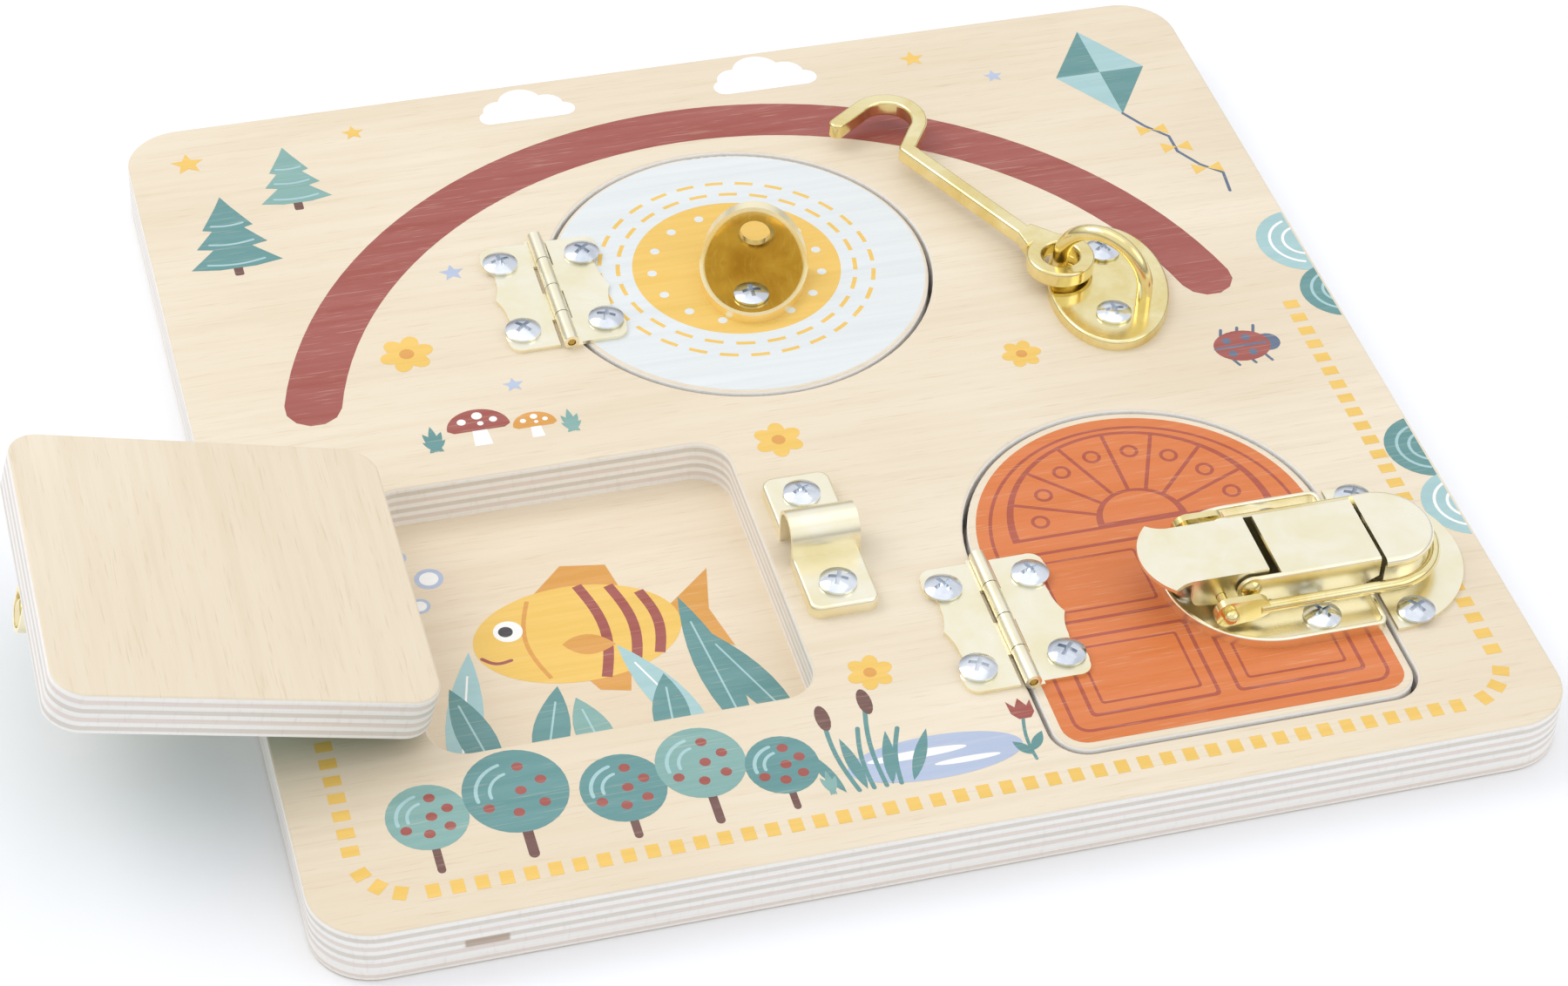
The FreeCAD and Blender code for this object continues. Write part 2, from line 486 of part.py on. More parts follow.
# ---------------------------------------------------------------- hook plate, staple, hook, bracket
hplate = new_body("hook_plate")
s = new_sketch(hplate, "HookPlatePlan", offset=TOP)
cx, cy, al, bs = D("HookPlateX"), D("HookPlateY"), D("HookPlateLong"), D("HookPlateShort")
major = Vector(cx + al * math.cos(HA), cy + al * math.sin(HA), 0)
minor = Vector(cx - bs * math.sin(HA), cy + bs * math.cos(HA), 0)
s.addGeometry(Part.Ellipse(major, minor, Vector(cx, cy, 0)), False)
s.addConstraint(Sketcher.Constraint("Block", 0))
f = pad(hplate, s, D("HookPlateHeight"), "Dimensions.HookPlateHeight", "HookPlatePad")
f = fillet(hplate, f, at_height(TOP + D("HookPlateHeight")), 0.9, name="HookPlateEdge")
SQ = math.atan2(-18.0, 17.2)                        # direction from the hook's leg to the other leg
legs = [(D("HookX"), D("HookY")), (D("HookX") + 2 * D("StapleHalf") * math.cos(SQ), D("HookY") + 2 * D("StapleHalf") * math.sin(SQ))]
s = new_sketch(hplate, "HookPlateHoles", offset=TOP + D("HookPlateHeight"))
for x, y, z in hook_pos:
    draw_circle(s, x, y, D("ScrewHole"), "Dimensions.ScrewHole")
for x, y in legs:
    draw_circle(s, x, y, D("StapleRadius"), "Dimensions.StapleRadius")
pocket(hplate, s, 10, name="HookPlateScrewHoles", through=True)
PARTS.append(hplate)

# the staple: two legs riveted through the plate and a half ring between them
sr, sh2, sl = D("StapleRadius"), D("StapleHalf"), D("StapleLeg")
z0 = TOP + 0.1
z1 = TOP + D("HookPlateHeight") + sl
staple_objs = []
for n, (x, y) in enumerate(legs):
    cyl = doc.addObject("Part::Cylinder", "StapleLeg%d" % n)
    cyl.Radius = sr
    cyl.setExpression("Radius", "Dimensions.StapleRadius")
    cyl.Height = z1 - z0
    cyl.Placement = Placement(Vector(x, y, z0), Rotation())
    staple_objs.append(cyl)
ring = doc.addObject("Part::Torus", "StapleRing")
ring.Radius1 = sh2
ring.setExpression("Radius1", "Dimensions.StapleHalf")
ring.Radius2 = sr
ring.setExpression("Radius2", "Dimensions.StapleRadius")
ring.Angle3 = 180.0
mid = Vector((legs[0][0] + legs[1][0]) / 2, (legs[0][1] + legs[1][1]) / 2, z1)
ring.Placement = Placement(mid, Rotation(Vector(0, 0, 1), math.degrees(SQ)).multiply(Rotation(Vector(1, 0, 0), 90)))
staple_objs.append(ring)
staple = doc.addObject("Part::MultiFuse", "hook_staple")
staple.Label = "hook_staple"
staple.Shapes = staple_objs
staple.Refine = True
doc.recompute()
PARTS.append(staple)

# the hook: an eye, a straight shank and a curled tip, one forged bar
bar = D("HookBar")
hz0 = D("HookZ") - bar / 2
route = [Vector(77.6, 39.6, hz0), Vector(55.1, 87.0, hz0), Vector(60.2, 95.0, hz0), Vector(62.3, 101.6, hz0),
         Vector(59.3, 107.8, hz0), Vector(53.2, 109.9, hz0), Vector(47.1, 107.4, hz0), Vector(39.6, 102.0, hz0)]
spine = [Part.LineSegment(route[0], route[1]).toShape(), Part.LineSegment(route[1], route[2]).toShape()]
spine.append(Part.Arc(route[2], route[3], route[4]).toShape())
spine.append(Part.Arc(route[4], route[5], route[6]).toShape())
spine.append(Part.LineSegment(route[6], route[7]).toShape())
line = Part.Wire(spine)
flat = line.makeOffset2D(2.15, 0, True, False, False)
bar_face = Part.Face(flat.Wires[0]) if flat.ShapeType != "Face" else flat
solid = bar_face.extrude(Vector(0, 0, bar))
eye = Part.makeCylinder(D("EyeOuter"), bar, Vector(D("HookX"), D("HookY"), hz0))
gusset = Part.Face(Part.makePolygon([Vector(73.6, 38.8, hz0), Vector(72.7, 45.5, hz0), Vector(77.4, 47.6, hz0), Vector(84.0, 41.0, hz0), Vector(73.6, 38.8, hz0)])).extrude(Vector(0, 0, bar))
tip = Part.makeCylinder(2.15, bar, route[-1])
solid = solid.fuse([eye, gusset, tip]).removeSplitter()
solid = solid.cut(Part.makeCylinder(D("EyeInner"), bar + 2, Vector(D("HookX"), D("HookY"), hz0 - 1)))


def flat_edges(shape, z):
    return [e for e in shape.Edges if abs(e.BoundBox.ZMin - z) < 1e-3 and abs(e.BoundBox.ZMax - z) < 1e-3]


hook_shape = solid
for radius in (1.6, 1.4, 1.2, 1.0, 0.85, 0.7, 0.5):
    try:
        trial = solid.makeFillet(radius, flat_edges(solid, hz0) + flat_edges(solid, hz0 + bar))
        if trial.isValid() and trial.Volume > 0 and len(trial.Solids) == 1:
            hook_shape = trial.Solids[0]
            print("hook fillet", radius)
            break
    except Part.OCCError:
        continue
hook = add_shape("cabin_hook", hook_shape.Solids[0])
PARTS.append(hook)

bracket = new_body("hook_bracket")
bx, by, bhw, bln, bt = D("BracketX"), D("BracketY"), D("BracketHalfWidth"), D("BracketLength"), D("BracketThickness")


def half_oval(hw, ln, sign, along, out_dir, ox, oy):
    """Half ellipse as many short arcs: (x, y) in the sketch."""
    pts = []
    n = 14
    for i in range(n + 1):
        t = math.pi * i / n
        tm = math.pi * (i - 0.5) / n
        p = (ox + hw * math.cos(t) * along[0] + ln * math.sin(t) * out_dir[0], oy + hw * math.cos(t) * along[1] + ln * math.sin(t) * out_dir[1])
        m = (ox + hw * math.cos(tm) * along[0] + ln * math.sin(tm) * out_dir[0], oy + hw * math.cos(tm) * along[1] + ln * math.sin(tm) * out_dir[1])
        pts.append(p if i == 0 else (p[0], p[1], m[0], m[1]))
    return pts


s = new_sketch(bracket, "BracketFoot", offset=TOP)
draw_outline(s, half_oval(bhw, bln, 1, BU, BS, bx, by))
pad(bracket, s, bt, "Dimensions.BracketThickness", "FootPad")
# the upright half, drawn in a plane turned to the bend
turn = Placement(Vector(bx, by, 0), Rotation(Vector(0, 0, 1), D("BracketTurn")).multiply(Rotation(Vector(1, 0, 0), 90)))
s = bracket.newObject("Sketcher::SketchObject", "BracketUpright")
s.AttachmentSupport = [(origin_plane(bracket, "XY_Plane"), "")]
s.MapMode = "FlatFace"
s.AttachmentOffset = turn
draw_outline(s, half_oval(bhw, bln - 0.4, 1, (1, 0), (0, 1), 0, TOP))
f = pad(bracket, s, bt, "Dimensions.BracketThickness", "UprightPad", reverse=True)


def half_ring(hw, ln, rim, along, out_dir, ox, oy):
    """Outline of the raised rim of one half oval."""
    outer = half_oval(hw, ln, 1, along, out_dir, ox, oy)
    inner = half_oval(hw - rim, ln - rim, 1, along, out_dir, ox, oy)
    back = []
    for i in range(len(inner) - 1, -1, -1):
        if i == len(inner) - 1:
            back.append(inner[i][:2])
        else:
            back.append(inner[i][:2] + inner[i + 1][2:])
    return outer + back


# the pressed rim stands proud of both halves
s = new_sketch(bracket, "FootRim", offset=TOP + bt)
draw_outline(s, half_ring(bhw, bln, D("BracketRim"), BU, BS, bx, by))
pad(bracket, s, D("BracketBead"), "Dimensions.BracketBead", "FootRimPad")
s = bracket.newObject("Sketcher::SketchObject", "UprightRim")
s.AttachmentSupport = [(origin_plane(bracket, "XY_Plane"), "")]
s.MapMode = "FlatFace"
s.AttachmentOffset = turn
draw_outline(s, half_ring(bhw, bln - 0.4, D("BracketRim"), (1, 0), (0, 1), 0, TOP))
f = pad(bracket, s, D("BracketBead"), "Dimensions.BracketBead", "UprightRimPad")
s = bracket.newObject("Sketcher::SketchObject", "BracketEye")
s.AttachmentSupport = [(origin_plane(bracket, "XY_Plane"), "")]
s.MapMode = "FlatFace"
s.AttachmentOffset = turn
draw_circle(s, 0, TOP + D("BracketHoleHeight"), D("BracketHole"), "Dimensions.BracketHole")
f = pocket(bracket, s, 2 * bt + 4, name="EyeHole", midplane=True)
s = new_sketch(bracket, "BracketScrewHole", offset=TOP + bt)
for x, y, z in bracket_pos:
    draw_circle(s, x, y, D("ScrewHole"), "Dimensions.ScrewHole")
f = pocket(bracket, s, bt + 2, name="BracketHoleCut")

PARTS.append(bracket)

# ---------------------------------------------------------------- toggle latch on the door
ly = D("LatchY")
lbase = new_body("latch_base")
lx, lr, lright = D("LatchBaseX"), D("LatchBaseRadius"), D("LatchBaseRight")


def dee(cx, radius, right, inset, corner):
    r = radius - inset
    x1 = right - inset
    k = corner * (1 - math.sqrt(0.5))
    return [(x1 - corner, ly + r), (cx, ly + r), (cx, ly - r, cx - r, ly), (x1 - corner, ly - r), (x1, ly - r + corner, x1 - k, ly - r + k),
            (x1, ly + r - corner), (x1 - corner, ly + r, x1 - k, ly + r - k)]


s = new_sketch(lbase, "LatchBasePlan", offset=TOP)
draw_outline(s, dee(lx, lr, lright, 0.0, 2.5)[1:])
f = pad(lbase, s, D("LatchRim"), "Dimensions.LatchRim", "LatchBasePad")
s = new_sketch(lbase, "LatchWell", offset=TOP + D("LatchRim"))
draw_outline(s, dee(lx, lr, lright, D("LatchWall"), 1.5)[1:])
f = pocket(lbase, s, D("LatchRim") - D("LatchFloor"), "Dimensions.LatchRim - Dimensions.LatchFloor", "LatchWellCut")
f = fillet(lbase, f, at_height(TOP + D("LatchRim")), 0.45, name="LatchRimRound")
s = new_sketch(lbase, "LatchBaseHoles", offset=TOP + D("LatchFloor"))
for x, y, z in latch_pos:
    draw_circle(s, x, y, D("ScrewHole"), "Dimensions.ScrewHole")
pocket(lbase, s, 5, name="LatchScrewHoles", through=True)
PARTS.append(lbase)

housing = new_body("latch_housing")
hl, hr, hh, ht = D("HousingLeft"), D("HousingRight"), D("HousingHalf"), TOP + D("HousingTop")
px, pz = D("PivotX"), D("PivotZ")
floor = TOP + D("LatchFloor")
s = new_sketch(housing, "HousingSide", "XZ_Plane", offset=-ly)
draw_outline(s, [(hl, ht), (px + 1.2, pz + 3.4), (px - 3.4, pz, px - 2.0, pz + 2.7), (px + 0.6, pz - 3.5, px - 2.1, pz - 2.8), (hl - 2.0, pz - 4.0),
                 (hl - 1.0, floor), (114.3, floor), (114.3, floor + 2.6), (hr, floor + 4.6), (hr, ht)])
f = pad(housing, s, 2 * hh, "2 * Dimensions.HousingHalf", "HousingPad", midplane=True)
s = new_sketch(housing, "HousingInside", "XZ_Plane", offset=-ly)
draw_outline(s, [(px - 6, floor - 2), (hr + 2, floor - 2), (hr + 2, ht - 1.0), (hl + 0.01, ht - 1.0), (hl + 0.01, ht + 3), (px - 6, ht + 3)])
f = pocket(housing, s, 2 * (hh - 1.0), "2 * (Dimensions.HousingHalf - 1)", "HousingHollow", midplane=True)
f = fillet(housing, f, lambda e: at_height(ht)(e) and e.BoundBox.XLength > 20 and abs(abs(e.BoundBox.Center.y - ly) - hh) < 0.01, 0.8, name="HousingEdge")
s = new_sketch(housing, "PivotHoles", "XZ_Plane", offset=-ly)
draw_circle(s, px, pz, D("PivotRadius"), "Dimensions.PivotRadius", "Dimensions.PivotX", "Dimensions.PivotZ")
pocket(housing, s, 2 * hh + 4, name="PivotHolesCut", midplane=True)
PARTS.append(housing)


def turned(label, points, axis_x, axis_z):
    """A pin turned about a line along Y; points are (radius, y) from one end to the other."""
    body = new_body(label)
    sk = new_sketch(body, label + "_profile", "XY_Plane", offset=axis_z)
    draw_outline(sk, [(axis_x + p[0], ly + p[1]) + ((axis_x + p[2], ly + p[3]) if len(p) == 4 else ()) for p in points])
    sk.addGeometry(Part.LineSegment(Vector(axis_x, ly - 50, 0), Vector(axis_x, ly - 40, 0)), True)
    feature = body.newObject("PartDesign::Revolution", label + "_turned")
    feature.Profile = sk
    feature.ReferenceAxis = (sk, ["Axis0"])
    feature.Angle = 360.0
    doc.recompute()
    return body


ph, pr = D("PivotHead"), D("PivotRadius")
PARTS.append(turned("latch_pivot_rivet", [(0, 12.6), (ph, hh + 0.15) + cap(ph, hh + 0.15, 12.6), (ph, hh), (pr, hh), (pr, -hh), (ph, -hh), (ph, -hh - 0.15),
                                          (0, -12.6) + cap(ph, -hh - 0.15, -12.6)], px, pz))

lever = new_body("latch_lever")
lt, lh, ls, lrx, ltip = D("LeverTop"), D("LeverHalf"), D("LeverSheet"), D("LeverRight"), D("LeverTip")
s = new_sketch(lever, "LeverPlan", offset=lt - ls)
draw_outline(s, [(lrx - 1.2, ly + lh), (71.5, ly + lh), (65.4, ly + 11.6, 68.0, ly + 10.1), (65.4, ly - 11.6, ltip, ly), (71.5, ly - lh, 68.0, ly - 10.1),
                 (lrx - 1.2, ly - lh), (lrx, ly - lh + 1.2, lrx - 0.35, ly - lh + 0.35), (lrx, ly + lh - 1.2), (lrx - 1.2, ly + lh, lrx - 0.35, ly + lh - 0.35)][1:])
pad(lever, s, ls, "Dimensions.LeverSheet", "LeverPlate")
bpx, bpz = D("BailPinX"), D("BailPinZ")
s = new_sketch(lever, "LeverSide", "XZ_Plane", offset=-ly)
draw_outline(s, [(70.6, lt), (70.6, 21.6), (73.0, 19.0, 71.3, 19.7), (bpx - 0.6, 18.4), (bpx + 2.2, 18.8, bpx + 1.0, 18.4), (px + 1.5, 19.4), (px + 3.8, 22.0, px + 3.2, 20.4), (lrx, 24.6), (lrx, lt)])
pad(lever, s, 2 * lh, "2 * Dimensions.LeverHalf", "LeverFlangeBlock", midplane=True)
s = new_sketch(lever, "LeverInside", "XZ_Plane", offset=-ly)
draw_rectangle(s, 50.0, 10.0, 100.0, lt - ls)
f = pocket(lever, s, 2 * (lh - ls), "2 * (Dimensions.LeverHalf - Dimensions.LeverSheet)", "LeverHollow", midplane=True)
s = new_sketch(lever, "LeverPinHoles", "XZ_Plane", offset=-ly)
draw_circle(s, px, pz, pr + D("PinFit"), "Dimensions.PivotRadius + Dimensions.PinFit")
draw_circle(s, bpx, bpz, D("BailPinRadius") + D("PinFit"), "Dimensions.BailPinRadius + Dimensions.PinFit")
pocket(lever, s, 2 * lh + 4, name="LeverPinHolesCut", midplane=True)
PARTS.append(lever)

# bail: a U of wire whose ends are flattened into eyes
bw_, bh_, bz_, bax = D("BailWire"), D("BailHalf"), D("BailZ"), D("BailArcX")
pieces = []
for sign in (1, -1):
    pieces.append(Part.makeCylinder(bw_, bax - 86.0, Vector(86.0, ly + sign * bh_, bz_), Vector(1, 0, 0)))
    eye_face = Part.Face(Part.Wire([
        Part.Arc(Vector(bpx + 0.6, 0, bpz + 3.7), Vector(bpx - 3.7, 0, bpz), Vector(bpx + 0.4, 0, bpz - 3.7)).toShape(),
        Part.makeLine(Vector(bpx + 0.4, 0, bpz - 3.7), Vector(bpx + 6.0, 0, bpz - 3.2)),
        Part.Arc(Vector(bpx + 6.0, 0, bpz - 3.2), Vector(bpx + 8.6, 0, bpz - 2.4), Vector(bpx + 10.2, 0, bz_ - 1.2)).toShape(),
        Part.makeLine(Vector(bpx + 10.2, 0, bz_ - 1.2), Vector(bpx + 10.2, 0, bz_ + 1.2)),
        Part.Arc(Vector(bpx + 10.2, 0, bz_ + 1.2), Vector(bpx + 8.7, 0, bpz + 2.9), Vector(bpx + 5.6, 0, bpz + 3.6)).toShape(),
        Part.makeLine(Vector(bpx + 5.6, 0, bpz + 3.6), Vector(bpx + 0.6, 0, bpz + 3.7))]))
    eye_solid = eye_face.extrude(Vector(0, 2.0, 0))
    eye_solid.translate(Vector(0, ly + sign * bh_ - 1.0, 0))
    pieces.append(eye_solid)
loop = Part.makeTorus(bh_, bw_, Vector(bax, ly, bz_), Vector(0, 0, 1))
cutter = Part.makeBox(60, 60, 20, Vector(bax - 60, ly - 30, bz_ - 10))
pieces.append(loop.cut(cutter))
bail_shape = pieces[0].fuse(pieces[1:]).removeSplitter()
bail_shape = bail_shape.cut(Part.makeCylinder(D("BailPinRadius"), 60, Vector(bpx, ly - 30, bpz), Vector(0, 1, 0)))
PARTS.append(add_shape("latch_bail", bail_shape))

bp = D("BailPinRadius")
ball = math.sqrt(2.0 ** 2 - 0.8 ** 2)             # where the ball head meets the eye
PARTS.append(turned("bail_pin", [(0, 19.0), (ball, 16.2, 2.0, 17.0), (bp, 16.2), (bp, -16.2), (ball, -16.2), (0, -19.0, 2.0, -17.0)], bpx, bpz))

catch = new_body("latch_catch")
cxx, cr, cs = D("CatchX"), D("CatchRadius"), D("CatchSheet")


def catch_dee(left, arc_x, radius):
    return [(left, ly + radius), (left, ly - radius), (arc_x, ly - radius), (arc_x, ly + radius, arc_x + radius, ly)]


s = new_sketch(catch, "CatchPlan", offset=TOP)
draw_outline(s, [(cxx, ly - cr), (cxx, ly + cr, cxx + cr, ly)])
pad(catch, s, cs, "Dimensions.CatchSheet", "CatchPad")
hx0, hax, hrr = D("HoodLeft"), D("HoodArcX"), D("HoodRadius")
nr = D("NeckRadius")
hood_top = TOP + D("HoodTop")
s = new_sketch(catch, "NeckPlan", offset=TOP + cs - 0.2)
draw_outline(s, catch_dee(hx0 + 0.4, hax, nr))
pad(catch, s, hood_top - D("HoodLip") - TOP - cs + 0.2, "Dimensions.HoodTop - Dimensions.HoodLip - Dimensions.CatchSheet + 0.2", "NeckPad")
s = new_sketch(catch, "HoodPlan", offset=hood_top - D("HoodLip"))
draw_outline(s, catch_dee(hx0, hax, hrr))
f = pad(catch, s, D("HoodLip"), "Dimensions.HoodLip", "HoodPad")
f = fillet(catch, f, lambda e: at_height(hood_top)(e) and e.BoundBox.XLength > 1.0, 1.3, name="HoodRound")
s = new_sketch(catch, "HoodHollow", offset=hood_top - 1.1)
draw_outline(s, catch_dee(hx0 - 2.0, hax, nr - 1.1))
f = pocket(catch, s, hood_top - 1.1 - TOP - cs, name="HoodHollowCut")
s = new_sketch(catch, "CatchHoles", offset=TOP + cs)
for x, y, z in catch_pos:
    draw_circle(s, x, y, D("ScrewHole"), "Dimensions.ScrewHole")
pocket(catch, s, 3, name="CatchScrewHoles")
PARTS.append(catch)

# ---------------------------------------------------------------- the lid stands open
lid_open = Placement(Vector(0, 0, 0), Rotation(Vector(0, -1, 0), D("LidOpenAngle")), Vector(D("LidHingeX"), 0, TOP + D("PinHeight")))
for item in (lid, LEAVES["lid"][1], barrel, rod, knob):
    item.Placement = lid_open
g_lid.Placement = lid_open

doc.recompute()

# ---------------------------------------------------------------- checks and files
bad = [o.Name for o in doc.Objects if "Invalid" in o.State or "Error" in o.State]
if bad:
    raise RuntimeError("failed objects: " + ", ".join(bad))
os.makedirs("parts", exist_ok=True)
for item in PARTS:
    shape = item.Shape
    if shape.isNull() or not shape.isValid():
        raise RuntimeError("bad shape: " + item.Label)
    shape.exportStep("parts/%s.step" % item.Label)
    box = shape.BoundBox
    print("%-26s solids %d  volume %9.1f  x %.1f..%.1f  y %.1f..%.1f  z %.1f..%.1f" % (
        item.Label, len(shape.Solids), shape.Volume, box.XMin, box.XMax, box.YMin, box.YMax, box.ZMin, box.ZMax))
print("pieces written:", len(PARTS))
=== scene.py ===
import math
import random

import bpy
from mathutils import Matrix, Vector
from mathutils.geometry import delaunay_2d_cdt


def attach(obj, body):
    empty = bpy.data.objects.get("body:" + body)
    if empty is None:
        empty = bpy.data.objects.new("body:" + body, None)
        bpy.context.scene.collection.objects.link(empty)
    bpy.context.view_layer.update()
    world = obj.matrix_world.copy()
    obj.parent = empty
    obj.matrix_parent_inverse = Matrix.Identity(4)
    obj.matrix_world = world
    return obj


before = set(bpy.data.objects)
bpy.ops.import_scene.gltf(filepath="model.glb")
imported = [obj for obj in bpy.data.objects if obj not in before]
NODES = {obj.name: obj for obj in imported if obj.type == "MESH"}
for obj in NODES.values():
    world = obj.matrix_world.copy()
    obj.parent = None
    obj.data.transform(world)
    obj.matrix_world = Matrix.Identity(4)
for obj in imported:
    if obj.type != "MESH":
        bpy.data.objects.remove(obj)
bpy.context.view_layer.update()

scene = bpy.context.scene
rng = random.Random(7)

# ------------------------------------------------------------------ camera
az, el, roll = math.radians(17.007), math.radians(42.009), math.radians(2.424)
forward = Vector((math.sin(az) * math.cos(el), math.cos(az) * math.cos(el), -math.sin(el)))
r0 = forward.cross(Vector((0, 0, 1))).normalized()
u0 = r0.cross(forward)
right = r0 * math.cos(roll) + u0 * math.sin(roll)
up = -r0 * math.sin(roll) + u0 * math.cos(roll)
cam_data = bpy.data.cameras.new("camera")
cam_data.sensor_width = 36.0
cam_data.lens = 87.98
cam_data.clip_end = 50.0
cam_data.dof.use_dof = False
cam = bpy.data.objects.new("camera", cam_data)
scene.collection.objects.link(cam)
basis = Matrix((right, up, -forward)).transposed().to_4x4()
cam.matrix_world = Matrix.Translation(Vector((-0.217681, -0.704164, 0.648514))) @ basis
scene.camera = cam
scene.view_settings.view_transform = "Standard"

# ------------------------------------------------------------------ light and floor
world = bpy.data.worlds.new("world")
scene.world = world
world.use_nodes = True
wn = world.node_tree.nodes
wl = world.node_tree.links
bg = wn["Background"]
tc = wn.new("ShaderNodeTexCoord")
sep = wn.new("ShaderNodeSeparateXYZ")
ramp = wn.new("ShaderNodeValToRGB")
wl.new(tc.outputs["Generated"], sep.inputs[0])
mr = wn.new("ShaderNodeMapRange")
mr.inputs["From Min"].default_value = -1.0
wl.new(sep.outputs["Z"], mr.inputs["Value"])
wl.new(mr.outputs["Result"], ramp.inputs["Fac"])
ramp.color_ramp.elements[0].position = 0.50
ramp.color_ramp.elements[0].color = (0.24, 0.235, 0.23, 1)
ramp.color_ramp.elements[1].position = 0.72
ramp.color_ramp.elements[1].color = (0.93, 0.95, 1.0, 1)
wl.new(ramp.outputs["Color"], bg.inputs["Color"])
bg.inputs["Strength"].default_value = 0.98


def area(name, place, target, size, power, size_y=None, color=(1, 1, 1)):
    data = bpy.data.lights.new(name, "AREA")
    data.shape = "RECTANGLE"
    data.size = size
    data.size_y = size_y or size
    data.energy = power
    data.color = color
    ob = bpy.data.objects.new(name, data)
    scene.collection.objects.link(ob)
    ob.location = place
    ob.rotation_euler = (Vector(target) - Vector(place)).to_track_quat("-Z", "Y").to_euler()
    return ob


area("key", (-0.75, 0.55, 1.15), (0, 0, 0), 0.9, 4.6, 0.7, (1.0, 0.985, 0.96))
area("fill", (0.95, -0.75, 0.85), (0, 0, 0), 1.0, 1.6, 0.8, (0.96, 0.98, 1.0))
area("over", (0.1, 0.1, 1.5), (0, 0, 0), 1.2, 1.6)

bpy.ops.mesh.primitive_grid_add(x_subdivisions=4, y_subdivisions=4, size=12.0, location=(0, 0, -0.0002))
floor = bpy.context.object
floor.name = "floor"
fm = bpy.data.materials.new("floor_paper")
fm.use_nodes = True
fp = fm.node_tree.nodes["Principled BSDF"]
fnz = fm.node_tree.nodes.new("ShaderNodeTexNoise")
fnz.inputs["Scale"].default_value = 3.0
frp = fm.node_tree.nodes.new("ShaderNodeValToRGB")
frp.color_ramp.elements[0].color = (0.93, 0.93, 0.93, 1)
frp.color_ramp.elements[1].color = (0.96, 0.96, 0.96, 1)
fm.node_tree.links.new(fnz.outputs["Fac"], frp.inputs["Fac"])
fm.node_tree.links.new(frp.outputs["Color"], fp.inputs["Base Color"])
fp.inputs["Roughness"].default_value = 0.85
floor.data.materials.append(fm)


# ------------------------------------------------------------------ materials
def srgb(hex_text):
    h = hex_text.lstrip("#")
    out = []
    for i in (0, 2, 4):
        c = int(h[i:i + 2], 16) / 255.0
        out.append(c / 12.92 if c <= 0.04045 else ((c + 0.055) / 1.055) ** 2.4)
    return (out[0], out[1], out[2], 1.0)


HINGE = Vector((-0.113, 0, 0.01705))
OPEN = math.radians(165)
LID = Matrix.Translation(HINGE) @ Matrix.Rotation(OPEN, 4, Vector((0, -1, 0))) @ Matrix.Translation(-HINGE)


class Nodes:
    """Short helper that adds and wires shader nodes."""

    def __init__(self, material):
        material.use_nodes = True
        self.tree = material.node_tree
        self.bsdf = self.tree.nodes["Principled BSDF"]

    def add(self, kind, **inputs):
        node = self.tree.nodes.new(kind)
        for key, value in inputs.items():
            socket = node.inputs[key.replace("_", " ")]
            if hasattr(value, "is_output"):
                self.tree.links.new(value, socket)
            else:
                socket.default_value = value
        return node

    def link(self, a, b):
        self.tree.links.new(a, b)

    def math(self, op, a, b=None, clamp=False):
        node = self.tree.nodes.new("ShaderNodeMath")
        node.operation = op
        node.use_clamp = clamp
        for i, v in enumerate((a, b)):
            if v is None:
                continue
            if hasattr(v, "is_output"):
                self.link(v, node.inputs[i])
            else:
                node.inputs[i].default_value = v
        return node.outputs[0]

    def ramp(self, fac, stops, interpolation="LINEAR"):
        node = self.tree.nodes.new("ShaderNodeValToRGB")
        node.color_ramp.interpolation = interpolation
        while len(node.color_ramp.elements) < len(stops):
            node.color_ramp.elements.new(0.5)
        for e, (p, c) in zip(node.color_ramp.elements, stops):
            e.position = p
            e.color = c if len(c) == 4 else (c[0], c[1], c[2], 1)
        self.link(fac, node.inputs["Fac"])
        return node.outputs["Color"]

    def mix(self, fac, a, b, blend="MIX"):
        node = self.tree.nodes.new("ShaderNodeMix")
        node.data_type = "RGBA"
        node.blend_type = blend
        for socket, v in ((node.inputs[0], fac), (node.inputs[6], a), (node.inputs[7], b)):
            if hasattr(v, "is_output"):
                self.link(v, socket)
            else:
                socket.default_value = v
        return node.outputs[2]

    def noise(self, vector, scale, detail=3.0, rough=0.55, distortion=0.0):
        node = self.add("ShaderNodeTexNoise")
        node.inputs["Scale"].default_value = scale
        node.inputs["Detail"].default_value = detail
        node.inputs["Roughness"].default_value = rough
        node.inputs["Distortion"].default_value = distortion
        self.link(vector, node.inputs["Vector"])
        return node.outputs["Fac"]


def local_coords(n, lid):
    """Object coordinates, and the object normal, in the panel's own closed position."""
    t = n.add("ShaderNodeTexCoord")
    pos, nor = t.outputs["Object"], t.outputs["Normal"]
    if lid:
        a = n.tree.nodes.new("ShaderNodeVectorRotate")
        a.rotation_type = "AXIS_ANGLE"
        a.inputs["Center"].default_value = HINGE
        a.inputs["Axis"].default_value = (0, -1, 0)
        a.inputs["Angle"].default_value = -OPEN
        n.link(pos, a.inputs["Vector"])
        b = n.tree.nodes.new("ShaderNodeVectorRotate")
        b.rotation_type = "AXIS_ANGLE"
        b.inputs["Axis"].default_value = (0, -1, 0)
        b.inputs["Angle"].default_value = -OPEN
        n.link(nor, b.inputs["Vector"])
        pos, nor = a.outputs[0], b.outputs[0]
    return pos, nor


